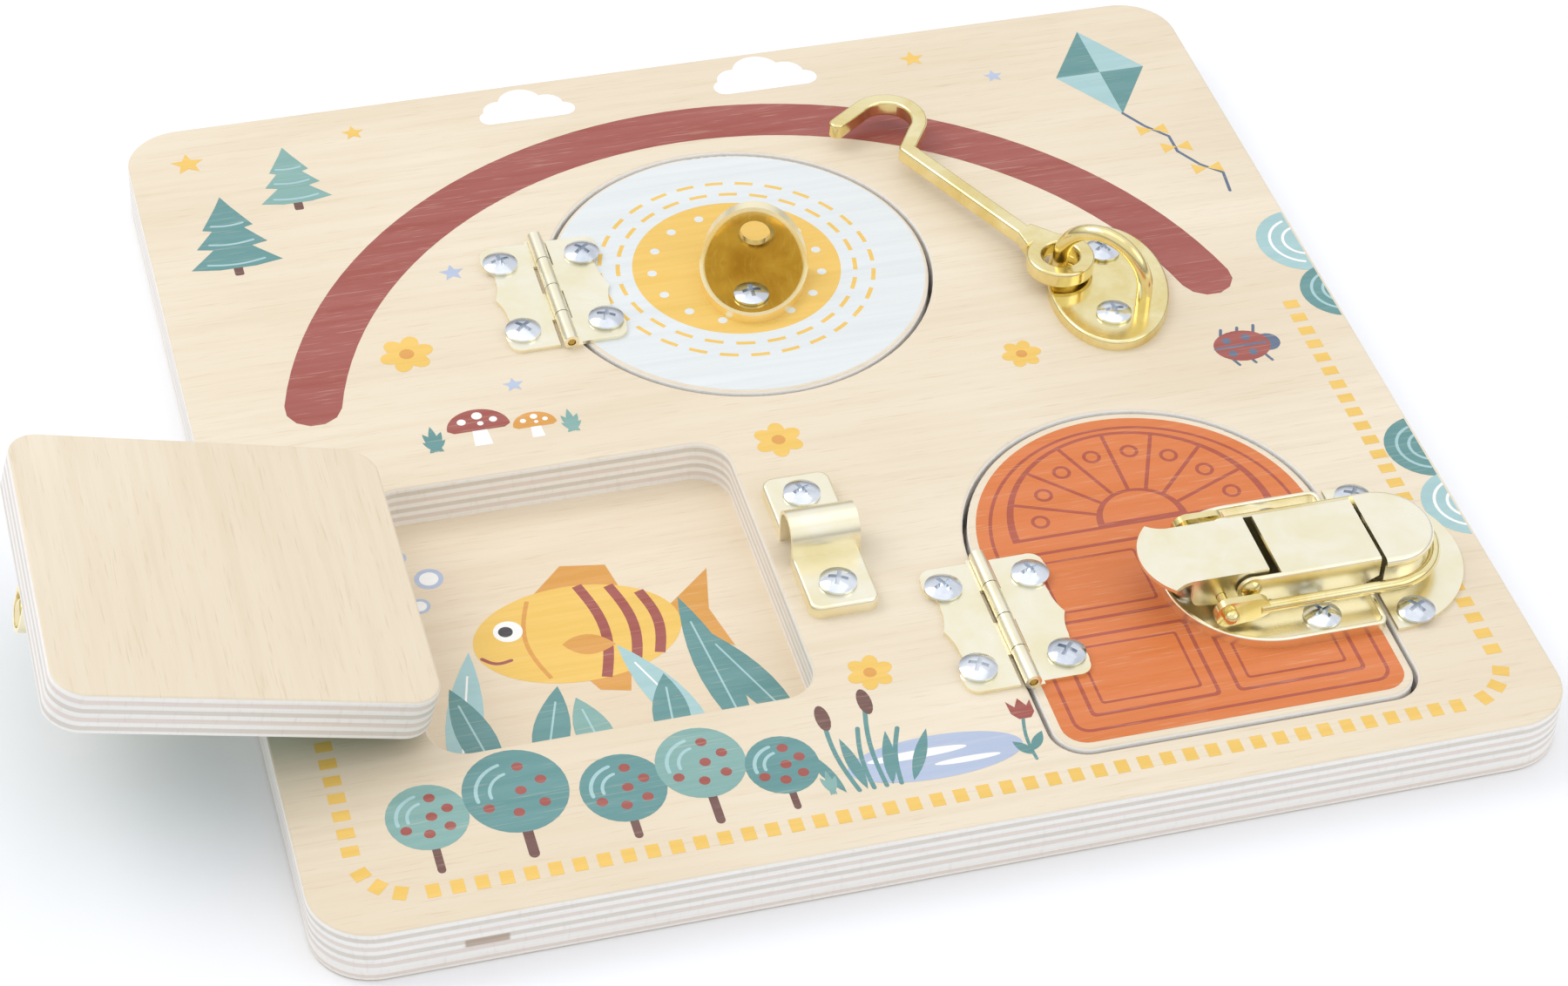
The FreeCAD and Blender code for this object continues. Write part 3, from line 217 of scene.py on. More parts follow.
def grain(n, pos, along="X", seed=0.0):
    """Three scales of birch grain: broad tone, streaks and short fibres."""
    def scaled(sx, sy, sz, shift):
        m = n.tree.nodes.new("ShaderNodeMapping")
        v = (sx, sy, sz) if along == "X" else (sy, sx, sz)
        m.inputs["Scale"].default_value = v
        m.inputs["Location"].default_value = (shift + seed, shift * 0.7 + seed, seed * 0.3)
        n.link(pos, m.inputs["Vector"])
        return m.outputs[0]
    broad = n.noise(scaled(5, 16, 16, 0.0), 1.0, 3.0, 0.5, 0.6)
    streak = n.noise(scaled(14, 320, 160, 2.1), 1.0, 5.0, 0.62, 0.25)
    fibre = n.noise(scaled(95, 2100, 900, 5.3), 1.0, 2.0, 0.5)
    return broad, streak, fibre


FACE_LIGHT = srgb("#EEE1C9")
FACE_MID = srgb("#E6D6BB")
FACE_DARK = srgb("#D0B894")


def wood_colour(n, pos, along, seed):
    broad, streak, fibre = grain(n, pos, along, seed)
    tone = n.mix(n.ramp(broad, [(0.36, (0, 0, 0)), (0.66, (1, 1, 1))]), FACE_MID, FACE_LIGHT)
    s = n.ramp(streak, [(0.42, (0, 0, 0)), (0.74, (1, 1, 1))])
    tone = n.mix(n.math("MULTIPLY", s, 0.24), tone, FACE_DARK)
    f = n.ramp(fibre, [(0.60, (0, 0, 0)), (0.72, (1, 1, 1))])
    tone = n.mix(n.math("MULTIPLY", f, 0.20), tone, srgb("#B9986A"))
    return tone, streak, fibre


def wood_material(name, along="X", seed=0.0, z0=0.003, z1=0.015, plies=9, lid=False, tint=None, patch=False):
    m = bpy.data.materials.new(name)
    n = Nodes(m)
    pos, nor = local_coords(n, lid)
    face, streak, fibre = wood_colour(n, pos, along, seed)
    sp = n.tree.nodes.new("ShaderNodeSeparateXYZ")
    n.link(pos, sp.inputs[0])
    sn = n.tree.nodes.new("ShaderNodeSeparateXYZ")
    n.link(nor, sn.inputs[0])
    # plies by height, with edges that waver a little
    wob_map = n.tree.nodes.new("ShaderNodeMapping")
    wob_map.inputs["Scale"].default_value = (14, 14, 60)
    n.link(pos, wob_map.inputs["Vector"])
    wob = n.noise(wob_map.outputs[0], 1.0, 4.0, 0.6)
    height = n.math("MULTIPLY_ADD", wob, 0.00060)
    n.tree.nodes[-1].inputs[2].default_value = -0.0003
    level = n.math("DIVIDE", n.math("SUBTRACT", n.math("ADD", sp.outputs["Z"], height), z0), z1 - z0)
    bright, grey = srgb("#FAF8F3"), srgb("#E0D9CF")
    pink = srgb("#EADFD6")
    stops = []
    for i in range(plies):
        c = bright if i % 2 == 0 else (pink if i % 4 == 1 else grey)
        a, b = i / plies, (i + 1) / plies
        stops += [(a + 0.012, c), (b - 0.012, c)]
    ply = n.ramp(level, stops)
    # end grain: short upright ticks across the plies
    tick_map = n.tree.nodes.new("ShaderNodeMapping")
    tick_map.inputs["Scale"].default_value = (900, 900, 260)
    n.link(pos, tick_map.inputs["Vector"])
    tick = n.noise(tick_map.outputs[0], 1.0, 2.0, 0.6)
    ply = n.mix(n.math("MULTIPLY", n.ramp(tick, [(0.55, (0, 0, 0)), (0.75, (1, 1, 1))]), 0.13), ply, srgb("#B7A182"))
    line_map = n.tree.nodes.new("ShaderNodeMapping")
    line_map.inputs["Scale"].default_value = (25, 25, 1900)
    n.link(pos, line_map.inputs["Vector"])
    line = n.noise(line_map.outputs[0], 1.0, 3.0, 0.6)
    ply = n.mix(n.math("MULTIPLY", n.ramp(line, [(0.50, (0, 0, 0)), (0.80, (1, 1, 1))]), 0.16), ply, srgb("#C7B498"))
    if patch:
        # a small dark gap in one core ply of the front edge; its darkness is painted shade on the flat edge
        def window(sock, lo, hi, soft):
            a = n.math("MULTIPLY", n.math("SUBTRACT", sock, lo), 1.0 / soft, True)
            b = n.math("MULTIPLY", n.math("SUBTRACT", hi, sock), 1.0 / soft, True)
            return n.math("MULTIPLY", a, b)
        gap = n.math("MULTIPLY", window(sp.outputs["X"], -0.1175, -0.1068, 0.0006), window(sp.outputs["Z"], 0.0056, 0.0083, 0.0004))
        gap = n.math("MULTIPLY", gap, n.math("LESS_THAN", sp.outputs["Y"], -0.14))
        ply = n.mix(n.math("MULTIPLY", gap, 0.75), ply, srgb("#A98D74"))
    nz = n.math("ABSOLUTE", sn.outputs["Z"])
    flat = n.ramp(nz, [(0.45, (0, 0, 0)), (0.80, (1, 1, 1))])
    colour = n.mix(flat, ply, face)
    if tint:
        colour = n.mix(0.25, colour, tint, "MULTIPLY")
    n.link(colour, n.bsdf.inputs["Base Color"])
    rough = n.math("MULTIPLY_ADD", streak, 0.22)
    n.tree.nodes[-1].inputs[2].default_value = 0.42
    n.link(rough, n.bsdf.inputs["Roughness"])
    bump = n.add("ShaderNodeBump", Strength=0.22, Distance=0.00012)
    n.link(n.math("ADD", n.math("MULTIPLY", streak, 0.6), fibre), bump.inputs["Height"])
    n.link(bump.outputs["Normal"], n.bsdf.inputs["Normal"])
    return m


INKS = {
    "red_brown": "#9E4C41", "teal": "#5E8F8D", "light_teal": "#A3C6C6", "blue_grey": "#B2BED4", "slate": "#5A6980",
    "yellow": "#EBC05A", "orange": "#D97735", "door_line": "#AD4E33", "grey": "#DEE2E1", "white": "#F5F3EE",
    "brown": "#6D463C", "amber": "#D99A43", "dark": "#3E3A3C", "sage": "#7FA8A0",
}
ink_cache = {}


def ink_material(key, along="X", lid=False):
    tag = "ink_%s_%s%s" % (key, along.lower(), "_lid" if lid else "")
    if tag in ink_cache:
        return ink_cache[tag]
    m = bpy.data.materials.new(tag)
    n = Nodes(m)
    pos, nor = local_coords(n, lid)
    broad, streak, fibre = grain(n, pos, along, 0.0)
    base = srgb(INKS[key])
    pale = tuple(min(1.0, c * 1.04 + 0.035) for c in base[:3]) + (1.0,)
    deep = tuple(c * 0.86 for c in base[:3]) + (1.0,)
    col = n.mix(n.ramp(streak, [(0.38, (0, 0, 0)), (0.68, (1, 1, 1))]), pale, base)
    col = n.mix(n.math("MULTIPLY", n.ramp(broad, [(0.3, (0, 0, 0)), (0.7, (1, 1, 1))]), 0.30), col, deep)
    # fibres that took no ink
    speck = n.ramp(fibre, [(0.60, (0, 0, 0)), (0.70, (1, 1, 1))])
    col = n.mix(n.math("MULTIPLY", speck, 0.16), col, srgb("#F1DFC0"))
    dots = n.noise(pos, 2600.0, 2.0, 0.5)
    col = n.mix(n.math("MULTIPLY", n.ramp(dots, [(0.52, (0, 0, 0)), (0.66, (1, 1, 1))]), 0.25), col, pale)
    n.link(col, n.bsdf.inputs["Base Color"])
    rough = n.math("MULTIPLY_ADD", streak, 0.2)
    n.tree.nodes[-1].inputs[2].default_value = 0.36
    n.link(rough, n.bsdf.inputs["Roughness"])
    bump = n.add("ShaderNodeBump", Strength=0.2, Distance=0.0001)
    n.link(n.math("ADD", n.math("MULTIPLY", streak, 0.6), fibre), bump.inputs["Height"])
    n.link(bump.outputs["Normal"], n.bsdf.inputs["Normal"])
    ink_cache[tag] = m
    return m


def metal_material(name, light, deep, rough_lo, rough_hi, brush=(900, 900, 40), worn="#FFF6DC", scratch=0.25):
    m = bpy.data.materials.new(name)
    n = Nodes(m)
    t = n.add("ShaderNodeTexCoord")
    pos = t.outputs["Object"]
    cloud = n.noise(pos, 70.0, 3.0, 0.6, 0.4)
    col = n.mix(n.ramp(cloud, [(0.35, (0, 0, 0)), (0.68, (1, 1, 1))]), srgb(light), srgb(deep))
    mp = n.tree.nodes.new("ShaderNodeMapping")
    mp.inputs["Scale"].default_value = brush
    n.link(pos, mp.inputs["Vector"])
    lines = n.noise(mp.outputs[0], 1.0, 3.0, 0.6)
    sp = n.noise(pos, 1500.0, 2.0, 0.5)
    col = n.mix(n.math("MULTIPLY", n.ramp(lines, [(0.55, (0, 0, 0)), (0.75, (1, 1, 1))]), scratch), col, srgb(worn))
    n.link(col, n.bsdf.inputs["Base Color"])
    n.bsdf.inputs["Metallic"].default_value = 1.0
    r = n.tree.nodes.new("ShaderNodeMapRange")
    r.inputs["To Min"].default_value = rough_lo
    r.inputs["To Max"].default_value = rough_hi
    n.link(n.math("ADD", n.math("MULTIPLY", cloud, 0.6), n.math("MULTIPLY", lines, 0.4)), r.inputs["Value"])
    n.link(r.outputs["Result"], n.bsdf.inputs["Roughness"])
    bump = n.add("ShaderNodeBump", Strength=0.10, Distance=0.00008)
    n.link(n.math("ADD", lines, n.math("MULTIPLY", sp, 0.5)), bump.inputs["Height"])
    n.link(bump.outputs["Normal"], n.bsdf.inputs["Normal"])
    return m


BRASS = metal_material("brass_bright", "#F8EBB8", "#EAD48A", 0.11, 0.22)
BRASS_SHEET = metal_material("brass_sheet", "#FFF9E2", "#F8EEC8", 0.22, 0.36, brush=(60, 1200, 60))
BRASS_DARK = metal_material("brass_bracket", "#E6CB7C", "#D0AF60", 0.07, 0.16, brush=(1300, 160, 160), worn="#F4E3A8", scratch=0.4)


def rim_painted_highlight(material):
    """Paler, duller metal along the raised rims of the bracket's two half ovals; the paler colour is a painted
    highlight.
    """
    n = Nodes(material)
    t = n.add("ShaderNodeTexCoord")
    sp = n.tree.nodes.new("ShaderNodeSeparateXYZ")
    n.link(t.outputs["Object"], sp.inputs[0])
    turn = math.radians(-18.0)
    ux, uy = math.cos(turn), math.sin(turn)
    x = n.math("SUBTRACT", sp.outputs["X"], 0.0035)
    y = n.math("SUBTRACT", sp.outputs["Y"], 0.0548)
    along = n.math("ADD", n.math("MULTIPLY", x, ux / 0.0143), n.math("MULTIPLY", y, uy / 0.0143))
    across = n.math("ADD", n.math("MULTIPLY", x, uy / 0.022), n.math("MULTIPLY", y, -ux / 0.022))
    rise = n.math("MULTIPLY", n.math("SUBTRACT", sp.outputs["Z"], 0.015), 1 / 0.0216)
    a2 = n.math("MULTIPLY", along, along)
    far = n.math("MAXIMUM", across, rise)
    e = n.math("ADD", a2, n.math("MULTIPLY", far, far))
    rim_highlight_mask = n.ramp(e, [(0.80, (0, 0, 0)), (0.90, (1, 1, 1))])
    socket = n.bsdf.inputs["Base Color"]
    old = socket.links[0].from_socket
    # painted highlight: the rims are turned paler
    n.link(n.mix(rim_highlight_mask, old, srgb("#FFF4CF")), socket)
    socket = n.bsdf.inputs["Roughness"]
    old = socket.links[0].from_socket
    n.link(n.math("ADD", old, n.math("MULTIPLY", rim_highlight_mask, 0.22)), socket)


rim_painted_highlight(BRASS_DARK)
ZINC = metal_material("zinc_plate", "#EDF0F3", "#C6CCD4", 0.10, 0.24, worn="#FFFFFF", scratch=0.2)
PIN = metal_material("hinge_pin_brass", "#D2B05A", "#A88238", 0.2, 0.35)

TOP_WOOD = wood_material("birch_top_panel", "X", 0.0, 0.003, 0.015, 9, patch=True)
BASE_WOOD = wood_material("birch_base_panel", "X", 3.3, 0.0, 0.003, 3, tint=(1.0, 0.93, 0.86, 1))
DISC_WOOD = wood_material("birch_disc", "X", 6.1, 0.0033, 0.015, 9)
DOOR_WOOD = wood_material("birch_door", "X", 8.7, 0.0033, 0.015, 9)
LID_WOOD = wood_material("birch_lid", "Y", 11.9, 0.0033, 0.015, 9, lid=True)


def give(node, material):
    ob = NODES[node]
    ob.data.materials.clear()
    ob.data.materials.append(material)


for name in NODES:
    if name.endswith("_screws"):
        give(name, ZINC)
    elif name.endswith("_pin") and "hinge" in name:
        give(name, PIN)
    elif name in ("latch_lever", "latch_housing", "latch_catch", "bolt_keeper") or "_leaf" in name or name in ("latch_base", "bolt_barrel"):
        give(name, BRASS_SHEET)
    elif name == "hook_bracket":
        give(name, BRASS_DARK)
    else:
        give(name, BRASS)
# the pressed bracket has softened edges
rim = NODES["hook_bracket"].modifiers.new("softened_edges", "BEVEL")
rim.width = 0.0003
rim.segments = 3
rim.limit_method = "ANGLE"
rim.angle_limit = math.radians(50)
rim.harden_normals = True
give("top_panel", TOP_WOOD)
give("base_panel", BASE_WOOD)
give("disc_panel", DISC_WOOD)
give("door_panel", DOOR_WOOD)
give("lid_panel", LID_WOOD)


# ------------------------------------------------------------------ printed ink
def circle(cx, cy, r, n=None, r2=None, turn=0.0):
    n = n or max(14, int(10 + r * 2.2))
    r2 = r if r2 is None else r2
    t = math.radians(turn)
    out = []
    for i in range(n):
        a = 2 * math.pi * i / n
        x, y = r * math.cos(a), r2 * math.sin(a)
        out.append((cx + x * math.cos(t) - y * math.sin(t), cy + x * math.sin(t) + y * math.cos(t)))
    return out


def half_disc(cx, cy, r, a0, a1, n=24):
    return [(cx + r * math.cos(math.radians(a0 + (a1 - a0) * i / n)), cy + r * math.sin(math.radians(a0 + (a1 - a0) * i / n))) for i in range(n + 1)]


def rounded(x0, y0, x1, y1, r, n=6):
    out = []
    for cx, cy, a in ((x1 - r, y0 + r, -90), (x1 - r, y1 - r, 0), (x0 + r, y1 - r, 90), (x0 + r, y0 + r, 180)):
        for i in range(n + 1):
            t = math.radians(a + 90.0 * i / n)
            out.append((cx + r * math.cos(t), cy + r * math.sin(t)))
    return out


def arch(cx, spring, radius, bottom, corner, n=40):
    out = []
    for x, a in ((cx - radius + corner, 180), (cx + radius - corner, 270)):
        for i in range(7):
            t = math.radians(a + 90.0 * i / 6)
            out.append((x + corner * math.cos(t), bottom + corner + corner * math.sin(t)))
    for i in range(n + 1):
        t = math.radians(180.0 * i / n)
        out.append((cx + radius * math.cos(t), spring + radius * math.sin(t)))
    return out


def stroke(points, width, caps=True):
    """Even band along a line of points, with rounded ends."""
    pts = [Vector(p) for p in points]
    h = width / 2
    left, rightside = [], []
    for i, p in enumerate(pts):
        a = pts[max(0, i - 1)]
        b = pts[min(len(pts) - 1, i + 1)]
        d = (b - a).normalized()
        nrm = Vector((-d.y, d.x))
        left.append(p + nrm * h)
        rightside.append(p - nrm * h)
    out = [tuple(p) for p in rightside]
    if caps:
        d = (pts[-1] - pts[-2]).normalized()
        base = math.atan2(d.y, d.x)
        out += [(pts[-1].x + h * math.cos(base + math.radians(a)), pts[-1].y + h * math.sin(base + math.radians(a))) for a in (-60, -30, 0, 30, 60)]
    out += [tuple(p) for p in reversed(left)]
    if caps:
        d = (pts[0] - pts[1]).normalized()
        base = math.atan2(d.y, d.x)
        out += [(pts[0].x + h * math.cos(base + math.radians(a)), pts[0].y + h * math.sin(base + math.radians(a))) for a in (-60, -30, 0, 30, 60)]
    return out


def leaf(x, y, length, width, turn, belly=0.45, n=9):
    t = math.radians(turn)
    side = []
    for i in range(n + 1):
        s = i / n
        w = width / 2 * (math.sin(math.pi * s ** (0.75 + belly * 0.4))) ** 0.9
        side.append((s * length, w))
    pts = side + [(a, -b) for a, b in reversed(side[1:-1])]
    return [(x + a * math.cos(t) - b * math.sin(t), y + a * math.sin(t) + b * math.cos(t)) for a, b in pts]


def curve(p0, p1, bend, n=12):
    """Points from p0 to p1 that bow to one side."""
    a, b = Vector(p0), Vector(p1)
    d = b - a
    nrm = Vector((-d.y, d.x))
    return [tuple(a + d * (i / n) + nrm * (bend * math.sin(math.pi * i / n))) for i in range(n + 1)]


def star(cx, cy, r, k=5, inner=0.45, turn=90):
    out = []
    for i in range(2 * k):
        a = math.radians(turn + 180.0 * i / k)
        rr = r if i % 2 == 0 else r * inner
        out.append((cx + rr * math.cos(a), cy + rr * math.sin(a)))
    return out


def ccw(points):
    s = sum(points[i - 1][0] * p[1] - p[0] * points[i - 1][1] for i, p in enumerate(points))
    return points if s > 0 else points[::-1]


def print_layer(name, body, z, domain, holes, shapes, along="X", matrix=None, thick=0.03):
    """One flat printed layer: the visible part of every shape, in painter's order, cut to the panel."""
    verts, faces = [], []
    for poly in [domain] + holes + [s[0] for s in shapes]:
        poly = ccw(poly)
        start = len(verts)
        verts += [Vector((p[0] + 1e-4 * math.sin(len(faces) * 12.9 + i), p[1] + 1e-4 * math.cos(len(faces) * 7.7 + i))) for i, p in enumerate(poly)]
        faces.append(list(range(start, len(verts))))
    v, e, f, ov, oe, of_ = delaunay_2d_cdt(verts, [], faces, 1, 1e-6, True)
    first = 1 + len(holes)
    keys = []
    for s in shapes:
        if s[1] not in keys:
            keys.append(s[1])
    used, out_faces, mats = {}, [], []
    out_verts = []
    for face, src in zip(f, of_):
        if 0 not in src or any(1 <= i <= len(holes) for i in src):
            continue
        tops = [i for i in src if i >= first]
        if not tops:
            continue
        key = shapes[max(tops) - first][1]
        if key is None:
            continue
        idx = []
        for i in face:
            if i not in used:
                used[i] = len(out_verts)
                p = Vector((v[i].x * 0.001, v[i].y * 0.001, z * 0.001))
                out_verts.append(matrix @ p if matrix else p)
            idx.append(used[i])
        out_faces.append(idx)
        mats.append(keys.index(key))
    mesh = bpy.data.meshes.new(name)
    mesh.from_pydata([tuple(p) for p in out_verts], [], out_faces)
    mesh.update()
    for k in keys:
        mesh.materials.append(ink_material(k, along, matrix is not None))
    for p, m in zip(mesh.polygons, mats):
        p.material_index = m
    ob = bpy.data.objects.new(name, mesh)
    scene.collection.objects.link(ob)
    mod = ob.modifiers.new("film", "SOLIDIFY")
    mod.thickness = thick * 0.001
    mod.offset = 1.0
    mod.use_even_offset = False
    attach(ob, body)
    return ob


def flower(cx, cy, r, petals, key, centre, turn=0.0):
    out = []
    for i in range(petals):
        a = math.radians(turn + 360.0 * i / petals)
        out.append((circle(cx + r * 0.62 * math.cos(a), cy + r * 0.62 * math.sin(a), r * 0.46, 14, r * 0.36, math.degrees(a)), key))
    out.append((circle(cx, cy, r * 0.30, 12), centre))
    return out


def tree(cx, base, height, crown, key, inner):
    """Round-headed apple tree: trunk, crown, two paler arcs and a few apples."""
    cy = base + height - crown
    out = [(stroke([(cx, base), (cx, cy)], crown * 0.20), "brown"), (circle(cx, cy, crown, None, crown * 1.06), key)]
    out.append((stroke(half_disc(cx, cy, crown * 0.74, 105, 190, 10), 0.9), inner))
    out.append((stroke(half_disc(cx, cy, crown * 0.48, 105, 190, 8), 0.8), inner))
    for ang, rr in ((20, 0.55), (75, 0.62), (-40, 0.62), (-95, 0.55), (-5, 0.10), (-150, 0.66)):
        t = math.radians(ang)
        out.append((circle(cx + crown * rr * math.cos(t), cy + crown * rr * math.sin(t), 1.35, 12), "red_brown"))
    return out


def pine(cx, base, h, w, key, line):
    out = [(rounded(cx - 1.2, base - 4.5, cx + 1.2, base + 1, 0.5, 2), "brown")]
    for i, (f, s) in enumerate(((0.0, 1.0), (0.28, 0.78), (0.54, 0.56))):
        y = base + h * f
        ww = w * s / 2
        out.append(([(cx - ww, y), (cx - ww * 0.4, y - 1.3), (cx + ww * 0.4, y - 1.3), (cx + ww, y), (cx + ww * 0.30, y + h * 0.30), (cx, y + h * 0.45), (cx - ww * 0.30, y + h * 0.30)], key))
        out.append((stroke(curve((cx - ww * 0.62, y + 1.3), (cx + ww * 0.62, y + 1.3), -0.07, 8), 0.7), line))
    return out


def mushroom(cx, base, s, key):
    out = [([(cx - 2.0 * s, base), (cx + 2.0 * s, base), (cx + 1.5 * s, base + 7 * s), (cx - 1.5 * s, base + 7 * s)], "white")]
    cap = half_disc(cx, base + 6 * s, 7.0 * s, 0, 180, 20)
    cap = [(x, base + 6 * s + (y - base - 6 * s) * 0.86) for x, y in cap]
    out.append((cap + [(cx - 5.6 * s, base + 5.0 * s), (cx + 5.6 * s, base + 5.0 * s)], key))
    for dx, dy, r in ((-3.4, 8.4, 1.0), (0.3, 9.8, 1.2), (3.6, 8.0, 0.9), (0.6, 7.2, 0.7)):
        out.append((circle(cx + dx * s, base + dy * s, r * s, 12), "white"))
    return out


def tuft(cx, base, s, key, blades=5):
    out = []
    for i in range(blades):
        a = 90 + (i - (blades - 1) / 2) * 24
        out.append((leaf(cx + (i - (blades - 1) / 2) * 1.0 * s, base, (11 - abs(i - (blades - 1) / 2) * 2.0) * s, 2.5 * s, a), key))
    return out


def cloud(cx, cy, s):
    out = [(rounded(cx - 15 * s, cy - 4.5 * s, cx + 16 * s, cy + 2.5 * s, 3.4 * s), "white")]
    for dx, dy, r in ((-8, 2, 5.2), (-0.5, 5, 7.2), (7.5, 2.2, 5.6), (13, -1, 3.3)):
        out.append((circle(cx + dx * s, cy + dy * s, r * s), "white"))
    return out


def tulip(cx, base, h, s, key, stem, lean=0.0):
    top = (cx + lean, base + h)
    out = [(stroke(curve((cx, base), top, 0.06, 8), 0.9 * s), stem)]
    out.append((leaf(cx, base + h * 0.18, h * 0.45, 2.8 * s, 55), stem))
    out.append((leaf(cx, base + h * 0.10, h * 0.42, 2.8 * s, 128), stem))
    x, y = top
    out.append(([(x - 3.4 * s, y + 4.6 * s), (x - 3.2 * s, y), (x - 1.6 * s, y - 2.2 * s), (x + 1.6 * s, y - 2.2 * s), (x + 3.2 * s, y), (x + 3.4 * s, y + 4.6 * s),
                 (x + 1.6 * s, y + 2.2 * s), (x, y + 5.2 * s), (x - 1.6 * s, y + 2.2 * s)], key))
    return out


# the board's face --------------------------------------------------------------
shapes = []
band = [(122.5 * math.cos(math.radians(a)), -3.0 + 124.0 * math.sin(math.radians(a))) for a in range(13, 169, 3)]
shapes.append((stroke(band, 14.5), "red_brown"))
# dashed path along the lower edge
path = []
for i in range(25):
    path.append((137.7, 9.0 - 5.55 * i, 90))
    path.append((-137.7, 9.0 - 5.55 * i, 90))
for i in range(-22, 23):
    path.append((5.55 * i, -140.0, 0))
for s in (1, -1):
    for a in (22, 45, 68):
        t = math.radians(270 + s * a)
        path.append((s * 124.2 + 13.5 * math.cos(t), -126.5 + 13.5 * math.sin(t), s * a))
for px, py, pa in path:
    t = math.radians(pa)
    c, s_ = math.cos(t), math.sin(t)
    shapes.append(([(px + dx * c - dy * s_, py + dx * s_ + dy * c) for dx, dy in ((-1.55, -2.0), (1.55, -2.0), (1.55, 2.0), (-1.55, 2.0))], "yellow"))
# far left corner: two fir trees and a star
shapes += pine(-128, 88, 30, 24, "teal", "light_teal")
shapes += pine(-108, 112, 24, 19, "sage", "light_teal")
shapes.append((star(-134, 134, 4.6), "yellow"))
shapes.append((star(-88, 138, 3.2), "yellow"))
# far edge: cloud, small stars, kite at the right corner
shapes += cloud(-40, 137, 0.86)
shapes += cloud(28, 136.5, 0.95)
shapes.append((star(72, 137, 3.6), "yellow"))
shapes.append((star(92, 124, 2.8), "blue_grey"))
kx, ky, kr = 122, 119, 1.0
shapes.append(([(kx, ky + 20), (kx, ky), (kx - 13, ky)], "teal"))
shapes.append(([(kx, ky + 20), (kx + 13, ky), (kx, ky)], "light_teal"))
shapes.append(([(kx - 13, ky), (kx, ky), (kx, ky - 20)], "light_teal"))
shapes.append(([(kx, ky), (kx + 13, ky), (kx, ky - 20)], "teal"))
tail = [(122, 99), (126, 92), (131, 86), (131, 79), (135, 72), (140, 67), (139, 59)]
shapes.append((stroke(tail, 0.9), "slate"))
for tx, ty in ((127.5, 90), (131.4, 81), (136.5, 70)):
    shapes.append(([(tx, ty), (tx - 4, ty + 2.6), (tx - 4, ty - 2.0)], "yellow"))
    shapes.append(([(tx, ty), (tx + 4, ty + 2.0), (tx + 4, ty - 2.6)], "yellow"))
# right edge: bushes that run off the board
for cx, cy, r, key, line in ((151, 34, 13, "light_teal", "white"), (153, 12, 11, "teal", "light_teal"), (151.5, -52, 11.5, "teal", "light_teal"), (153, -74, 12, "light_teal", "white")):
    shapes.append((circle(cx, cy, r), key))
    for k in (0.45, 0.72):
        shapes.append((stroke(half_disc(cx, cy, r * k, 110, 250, 14), 0.8), line))
# under the band: toadstools in grass, stars and daisies
shapes += tuft(-92, 3, 0.9, "teal") + mushroom(-80, 3, 1.15, "red_brown") + mushroom(-66, 3, 0.8, "amber") + tuft(-57, 3, 0.8, "sage")
shapes += flower(-92, 42, 6.6, 6, "yellow", "amber", 10)
shapes += flower(-8, -12, 6.0, 6, "yellow", "amber", 25)
shapes += flower(62, 6, 5.0, 6, "yellow", "amber", 5)
shapes += flower(-9, -97, 5.4, 6, "yellow", "amber", 15)
shapes.append((star(-74, 72, 3.4), "blue_grey"))
shapes.append((star(-68, 24, 2.8), "blue_grey"))
# a ladybird beside the hook's plate
lbx, lby = 119, -4
for dx in (-4.5, 0, 4.5):
    for s in (1, -1):
        shapes.append((stroke([(lbx + dx, lby + s * 4.0), (lbx + dx + 1.2, lby + s * 7.2)], 0.8), "slate"))
shapes.append((circle(lbx + 7.0, lby, 3.4, 18), "slate"))
shapes.append((circle(lbx, lby, 7.6, 30, 6.0), "red_brown"))
shapes.append((stroke([(lbx - 7.3, lby), (lbx + 6.4, lby)], 0.8), "slate"))
for dx, dy in ((-3.4, 2.6), (2.0, 3.0), (-3.4, -2.6), (2.0, -3.0)):
    shapes.append((circle(lbx + dx, lby + dy, 1.2, 12), "slate"))
# lower left: a row of round trees
for cx, h, c, key in ((-119, 26, 9.5, "sage"), (-98, 32, 12.2, "teal"), (-74, 25, 10.0, "teal"), (-55, 29, 10.5, "sage"), (-37, 22, 8.6, "teal")):
    shapes += tree(cx, -134.5, h, c, key, "light_teal")
# lower middle: a pond with reeds
shapes.append((circle(-2, -127, 21, 40, 6.8), "blue_grey"))
shapes.append((circle(-6, -125.2, 12, 26, 1.3), "white"))
shapes.append((circle(5, -129.3, 8, 20, 0.9), "white"))
for x0, h, lean, head in ((-22, 24, -2, True), (-18.5, 19, 1.5, False), (-15.5, 27, 2.5, True), (-12.0, 17, 4, False)):
    shapes.append((stroke(curve((x0, -133), (x0 + lean, -133 + h), 0.05, 8), 1.1), "teal"))
    if head:
        shapes.append((circle(x0 + lean, -133 + h, 1.7, 16, 4.2), "brown"))
for x0, a in ((-25, 112), (-20, 97), (-14, 80), (-9, 64)):
    shapes.append((leaf(x0, -133, 17, 3.0, a), "teal"))
shapes += tulip(20.5, -133, 15, 0.9, "red_brown", "teal", 1.5)
shapes += tuft(-28, -133, 0.7, "sage", 3)

board_domain = rounded(-149.1, -149.1, 149.1, 149.1, 14.1, 10)
board_holes = [circle(0, 56.3, 52.1, 128), rounded(-67.6 - 46.9, -54.3 - 46.9, -67.6 + 46.9, -54.3 + 46.9, 9.9, 8), arch(71.6, -66.2, 46.9, -135.3, 9.9, 60)]
print_layer("print_board", "board", 15.012, board_domain, board_holes, shapes)

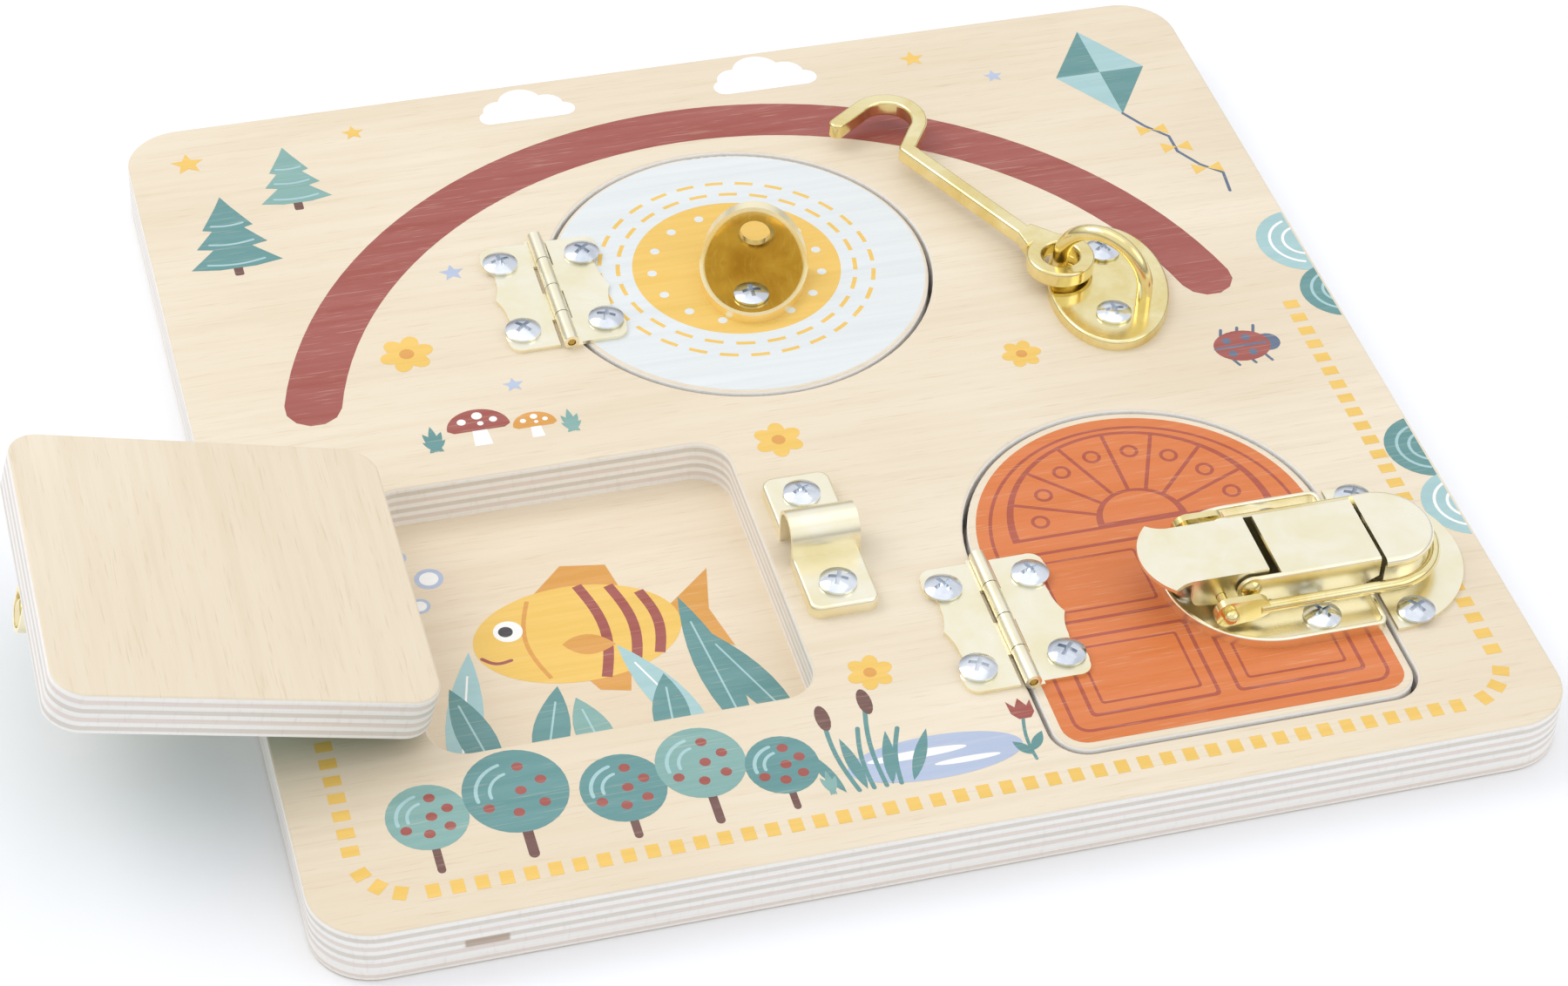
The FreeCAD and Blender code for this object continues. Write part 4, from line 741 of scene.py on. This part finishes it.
# the round window ----------------------------------------------------------------
shapes = [(circle(0, 56.3, 49.1, 128), "grey")]
cx, cy = -0.5, 57.3
shapes.append((circle(cx, cy, 27.6, 90), "yellow"))
for r, k, off in ((31.4, 24, 0), (36.2, 28, 4)):
    for i in range(k):
        a0 = 360.0 * i / k + off
        arc_pts = half_disc(cx, cy, r, a0, a0 + 360.0 / k * 0.60, 5)
        shapes.append((stroke(arc_pts, 1.15, False), "yellow"))
for r, k in ((22.5, 15),):
    for i in range(k):
        a = math.radians(360.0 * i / k + 6)
        shapes.append((circle(cx + r * math.cos(a), cy + r * math.sin(a), 1.25, 14), "grey"))
print_layer("print_window", "window_disc", 15.012, circle(0, 56.3, 49.1, 128), [], shapes)

# the arched door -------------------------------------------------------------------
shapes = [(arch(71.6, -66.2, 42.7, -131.1, 6.0, 60), "orange")]


def ring(outer, inner_pts, key, fill):
    return [(outer, key), (inner_pts, fill)]


shapes += ring(arch(71.6, -66.2, 39.6, -128.0, 4.0, 60), arch(71.6, -66.2, 38.7, -127.1, 3.3, 60), "door_line", "orange")
# fanlight
fan_o = half_disc(71.6, -62.5, 34.0, 0, 180, 40)
fan_i = half_disc(71.6, -61.5, 32.0, 0, 180, 40)
shapes += ring([(fan_o[0][0], -62.5)] + fan_o, [(fan_i[0][0], -61.5)] + fan_i, "door_line", "orange")
for i in range(1, 8):
    a = math.radians(180.0 * i / 8)
    p0 = (71.6 + 11.5 * math.cos(a), -61.5 + 11.5 * math.sin(a))
    p1 = (71.6 + 32.2 * math.cos(a), -61.5 + 32.2 * math.sin(a))
    shapes.append((stroke([p0, p1], 1.0, False), "door_line"))
shapes += ring(half_disc(71.6, -61.5, 11.6, 0, 180, 24), half_disc(71.6, -60.6, 9.7, 0, 180, 24), "door_line", "orange")
for i in range(8):
    a = 180.0 * (i + 0.5) / 8
    t = math.radians(a)
    shapes.append((circle(71.6 + 25.5 * math.cos(t), -61.5 + 25.5 * math.sin(t), 2.4, 20), "door_line"))
    shapes.append((circle(71.6 + 25.5 * math.cos(t), -61.5 + 25.5 * math.sin(t), 1.5, 16), "orange"))
# two pairs of plain panels
for x0, x1 in ((37.2, 69.6), (73.6, 106.0)):
    for y0, y1 in ((-123.5, -97.0), (-92.5, -67.0)):
        shapes += ring(rounded(x0, y0, x1, y1, 1.4, 4), rounded(x0 + 1.0, y0 + 1.0, x1 - 1.0, y1 - 1.0, 0.9, 4), "door_line", "orange")
        shapes += ring(rounded(x0 + 3.6, y0 + 3.6, x1 - 3.6, y1 - 3.6, 1.0, 4), rounded(x0 + 4.3, y0 + 4.3, x1 - 4.3, y1 - 4.3, 0.6, 4), "door_line", "orange")
print_layer("print_door", "arched_door", 15.012, arch(71.6, -66.2, 42.8, -131.2, 6.1, 60), [], shapes)

# the picture behind the lid ----------------------------------------------------------
shapes = []
fx, fy = -70.0, -56.0
shapes.append(([(fx + 20, fy + 1), (fx + 36, fy + 15), (fx + 33, fy + 1), (fx + 36, fy - 13)], "amber"))
shapes.append(([(fx - 9, fy + 14), (fx + 1, fy + 24), (fx + 12, fy + 22), (fx + 14, fy + 11)], "amber"))
shapes.append(([(fx - 2, fy - 14), (fx + 10, fy - 14), (fx + 8, fy - 22), (fx + 1, fy - 20)], "amber"))
shapes.append((circle(fx, fy, 25.5, 60, 16.5), "yellow"))
for dx, h in ((3.5, 16.2), (11.0, 14.6), (17.8, 11.0)):
    shapes.append((stroke(curve((fx + dx, fy - h), (fx + dx, fy + h), -0.10, 12), 2.6, False), "red_brown"))
shapes.append((stroke(curve((fx - 9.5, fy - 13.6), (fx - 9.5, fy + 13.6), 0.12, 12), 1.1, False), "amber"))
shapes.append((leaf(fx - 4.5, fy - 3.0, 13, 7.0, -12), "amber"))
shapes.append((circle(fx - 16.2, fy + 4.4, 3.6, 24), "white"))
shapes.append((circle(fx - 16.8, fy + 4.4, 1.8, 18), "dark"))
shapes.append((stroke(curve((fx - 24.2, fy - 3.4), (fx - 17.5, fy - 5.4), -0.20, 8), 1.0), "red_brown"))
for bx_, by_, br in ((-105, -38, 2.6), (-101, -29, 3.6), (-107, -20, 2.2)):
    shapes.append((circle(bx_, by_, br, 24), "blue_grey"))
    shapes.append((circle(bx_, by_, br * 0.66, 20), "white"))
for x0, h, a, key in ((-108, 46, 76, "light_teal"), (-98, 34, 100, "teal"), (-88, 30, 72, "teal"), (-46, 42, 112, "light_teal"), (-38, 52, 96, "teal"), (-25, 44, 112, "teal"), (-56, 27, 84, "teal"), (-72, 24, 98, "sage")):
    shapes.append((leaf(x0, -101, h, 9.0, a), key))
    t = math.radians(a)
    shapes.append((stroke([(x0 + 2 * math.cos(t), -101 + 2 * math.sin(t)), (x0 + h * 0.82 * math.cos(t), -101 + h * 0.82 * math.sin(t))], 0.5), "white" if key == "light_teal" else "light_teal"))
shapes.append((circle(-84, -101, 13, 30, 6), "blue_grey"))
shapes.append((circle(-62, -102, 11, 30, 8), "slate"))
shapes.append((stroke(curve((-69, -97.5), (-56, -97), 0.14, 8), 0.8), "blue_grey"))
print_layer("print_recess", "board", 3.012, rounded(-67.6 - 45.9, -54.3 - 45.9, -67.6 + 45.9, -54.3 + 45.9, 8.6, 8), [], shapes)

# plain pictures behind the window and the door
shapes = [(circle(-2, 57, 20, 60), "yellow")]
for sx, sy, sr in ((14, 76, 4.5), (24, 58, 3.2), (10, 36, 3.6), (-30, 78, 3.0), (-34, 44, 3.8), (30, 38, 2.6)):
    shapes.append((star(sx, sy, sr), "blue_grey"))
print_layer("print_behind_window", "board", 3.012, circle(0, 56.3, 50.6, 96), [], shapes)
shapes = []
for tx, th, tk in ((58, 34, "red_brown"), (71.6, 44, "yellow"), (85, 32, "amber")):
    shapes += tulip(tx, -104, th, 1.7, tk, "teal", (tx - 71.6) * 0.25)
shapes.append(([(55, -102), (88, -102), (84, -126), (59, -126)], "orange"))
shapes.append((rounded(53, -106, 90, -99.5, 1.6, 4), "door_line"))
print_layer("print_behind_door", "board", 3.012, arch(71.6, -66.2, 45.4, -133.8, 8.4, 60), [], shapes)

# the lid's outer face ------------------------------------------------------------------
shapes = [(rounded(-67.6 - 42.6, -54.3 - 42.6, -67.6 + 42.6, -54.3 + 42.6, 6.4, 8), "teal"),
          (rounded(-67.6 - 39.4, -54.3 - 39.4, -67.6 + 39.4, -54.3 + 39.4, 4.4, 8), "light_teal"),
          (rounded(-67.6 - 38.4, -54.3 - 38.4, -67.6 + 38.4, -54.3 + 38.4, 3.8, 8), "teal")]
for i in range(-3, 4):
    for j in range(-3, 4):
        if (i + j) % 2 == 0:
            shapes.append((circle(-67.6 + i * 11.2, -54.3 + j * 11.2, 2.0, 14), "light_teal"))
print_layer("print_lid", "square_lid", 15.012, rounded(-67.6 - 43.9, -54.3 - 43.9, -67.6 + 43.9, -54.3 + 43.9, 7.1, 8), [], shapes, along="X", matrix=LID)
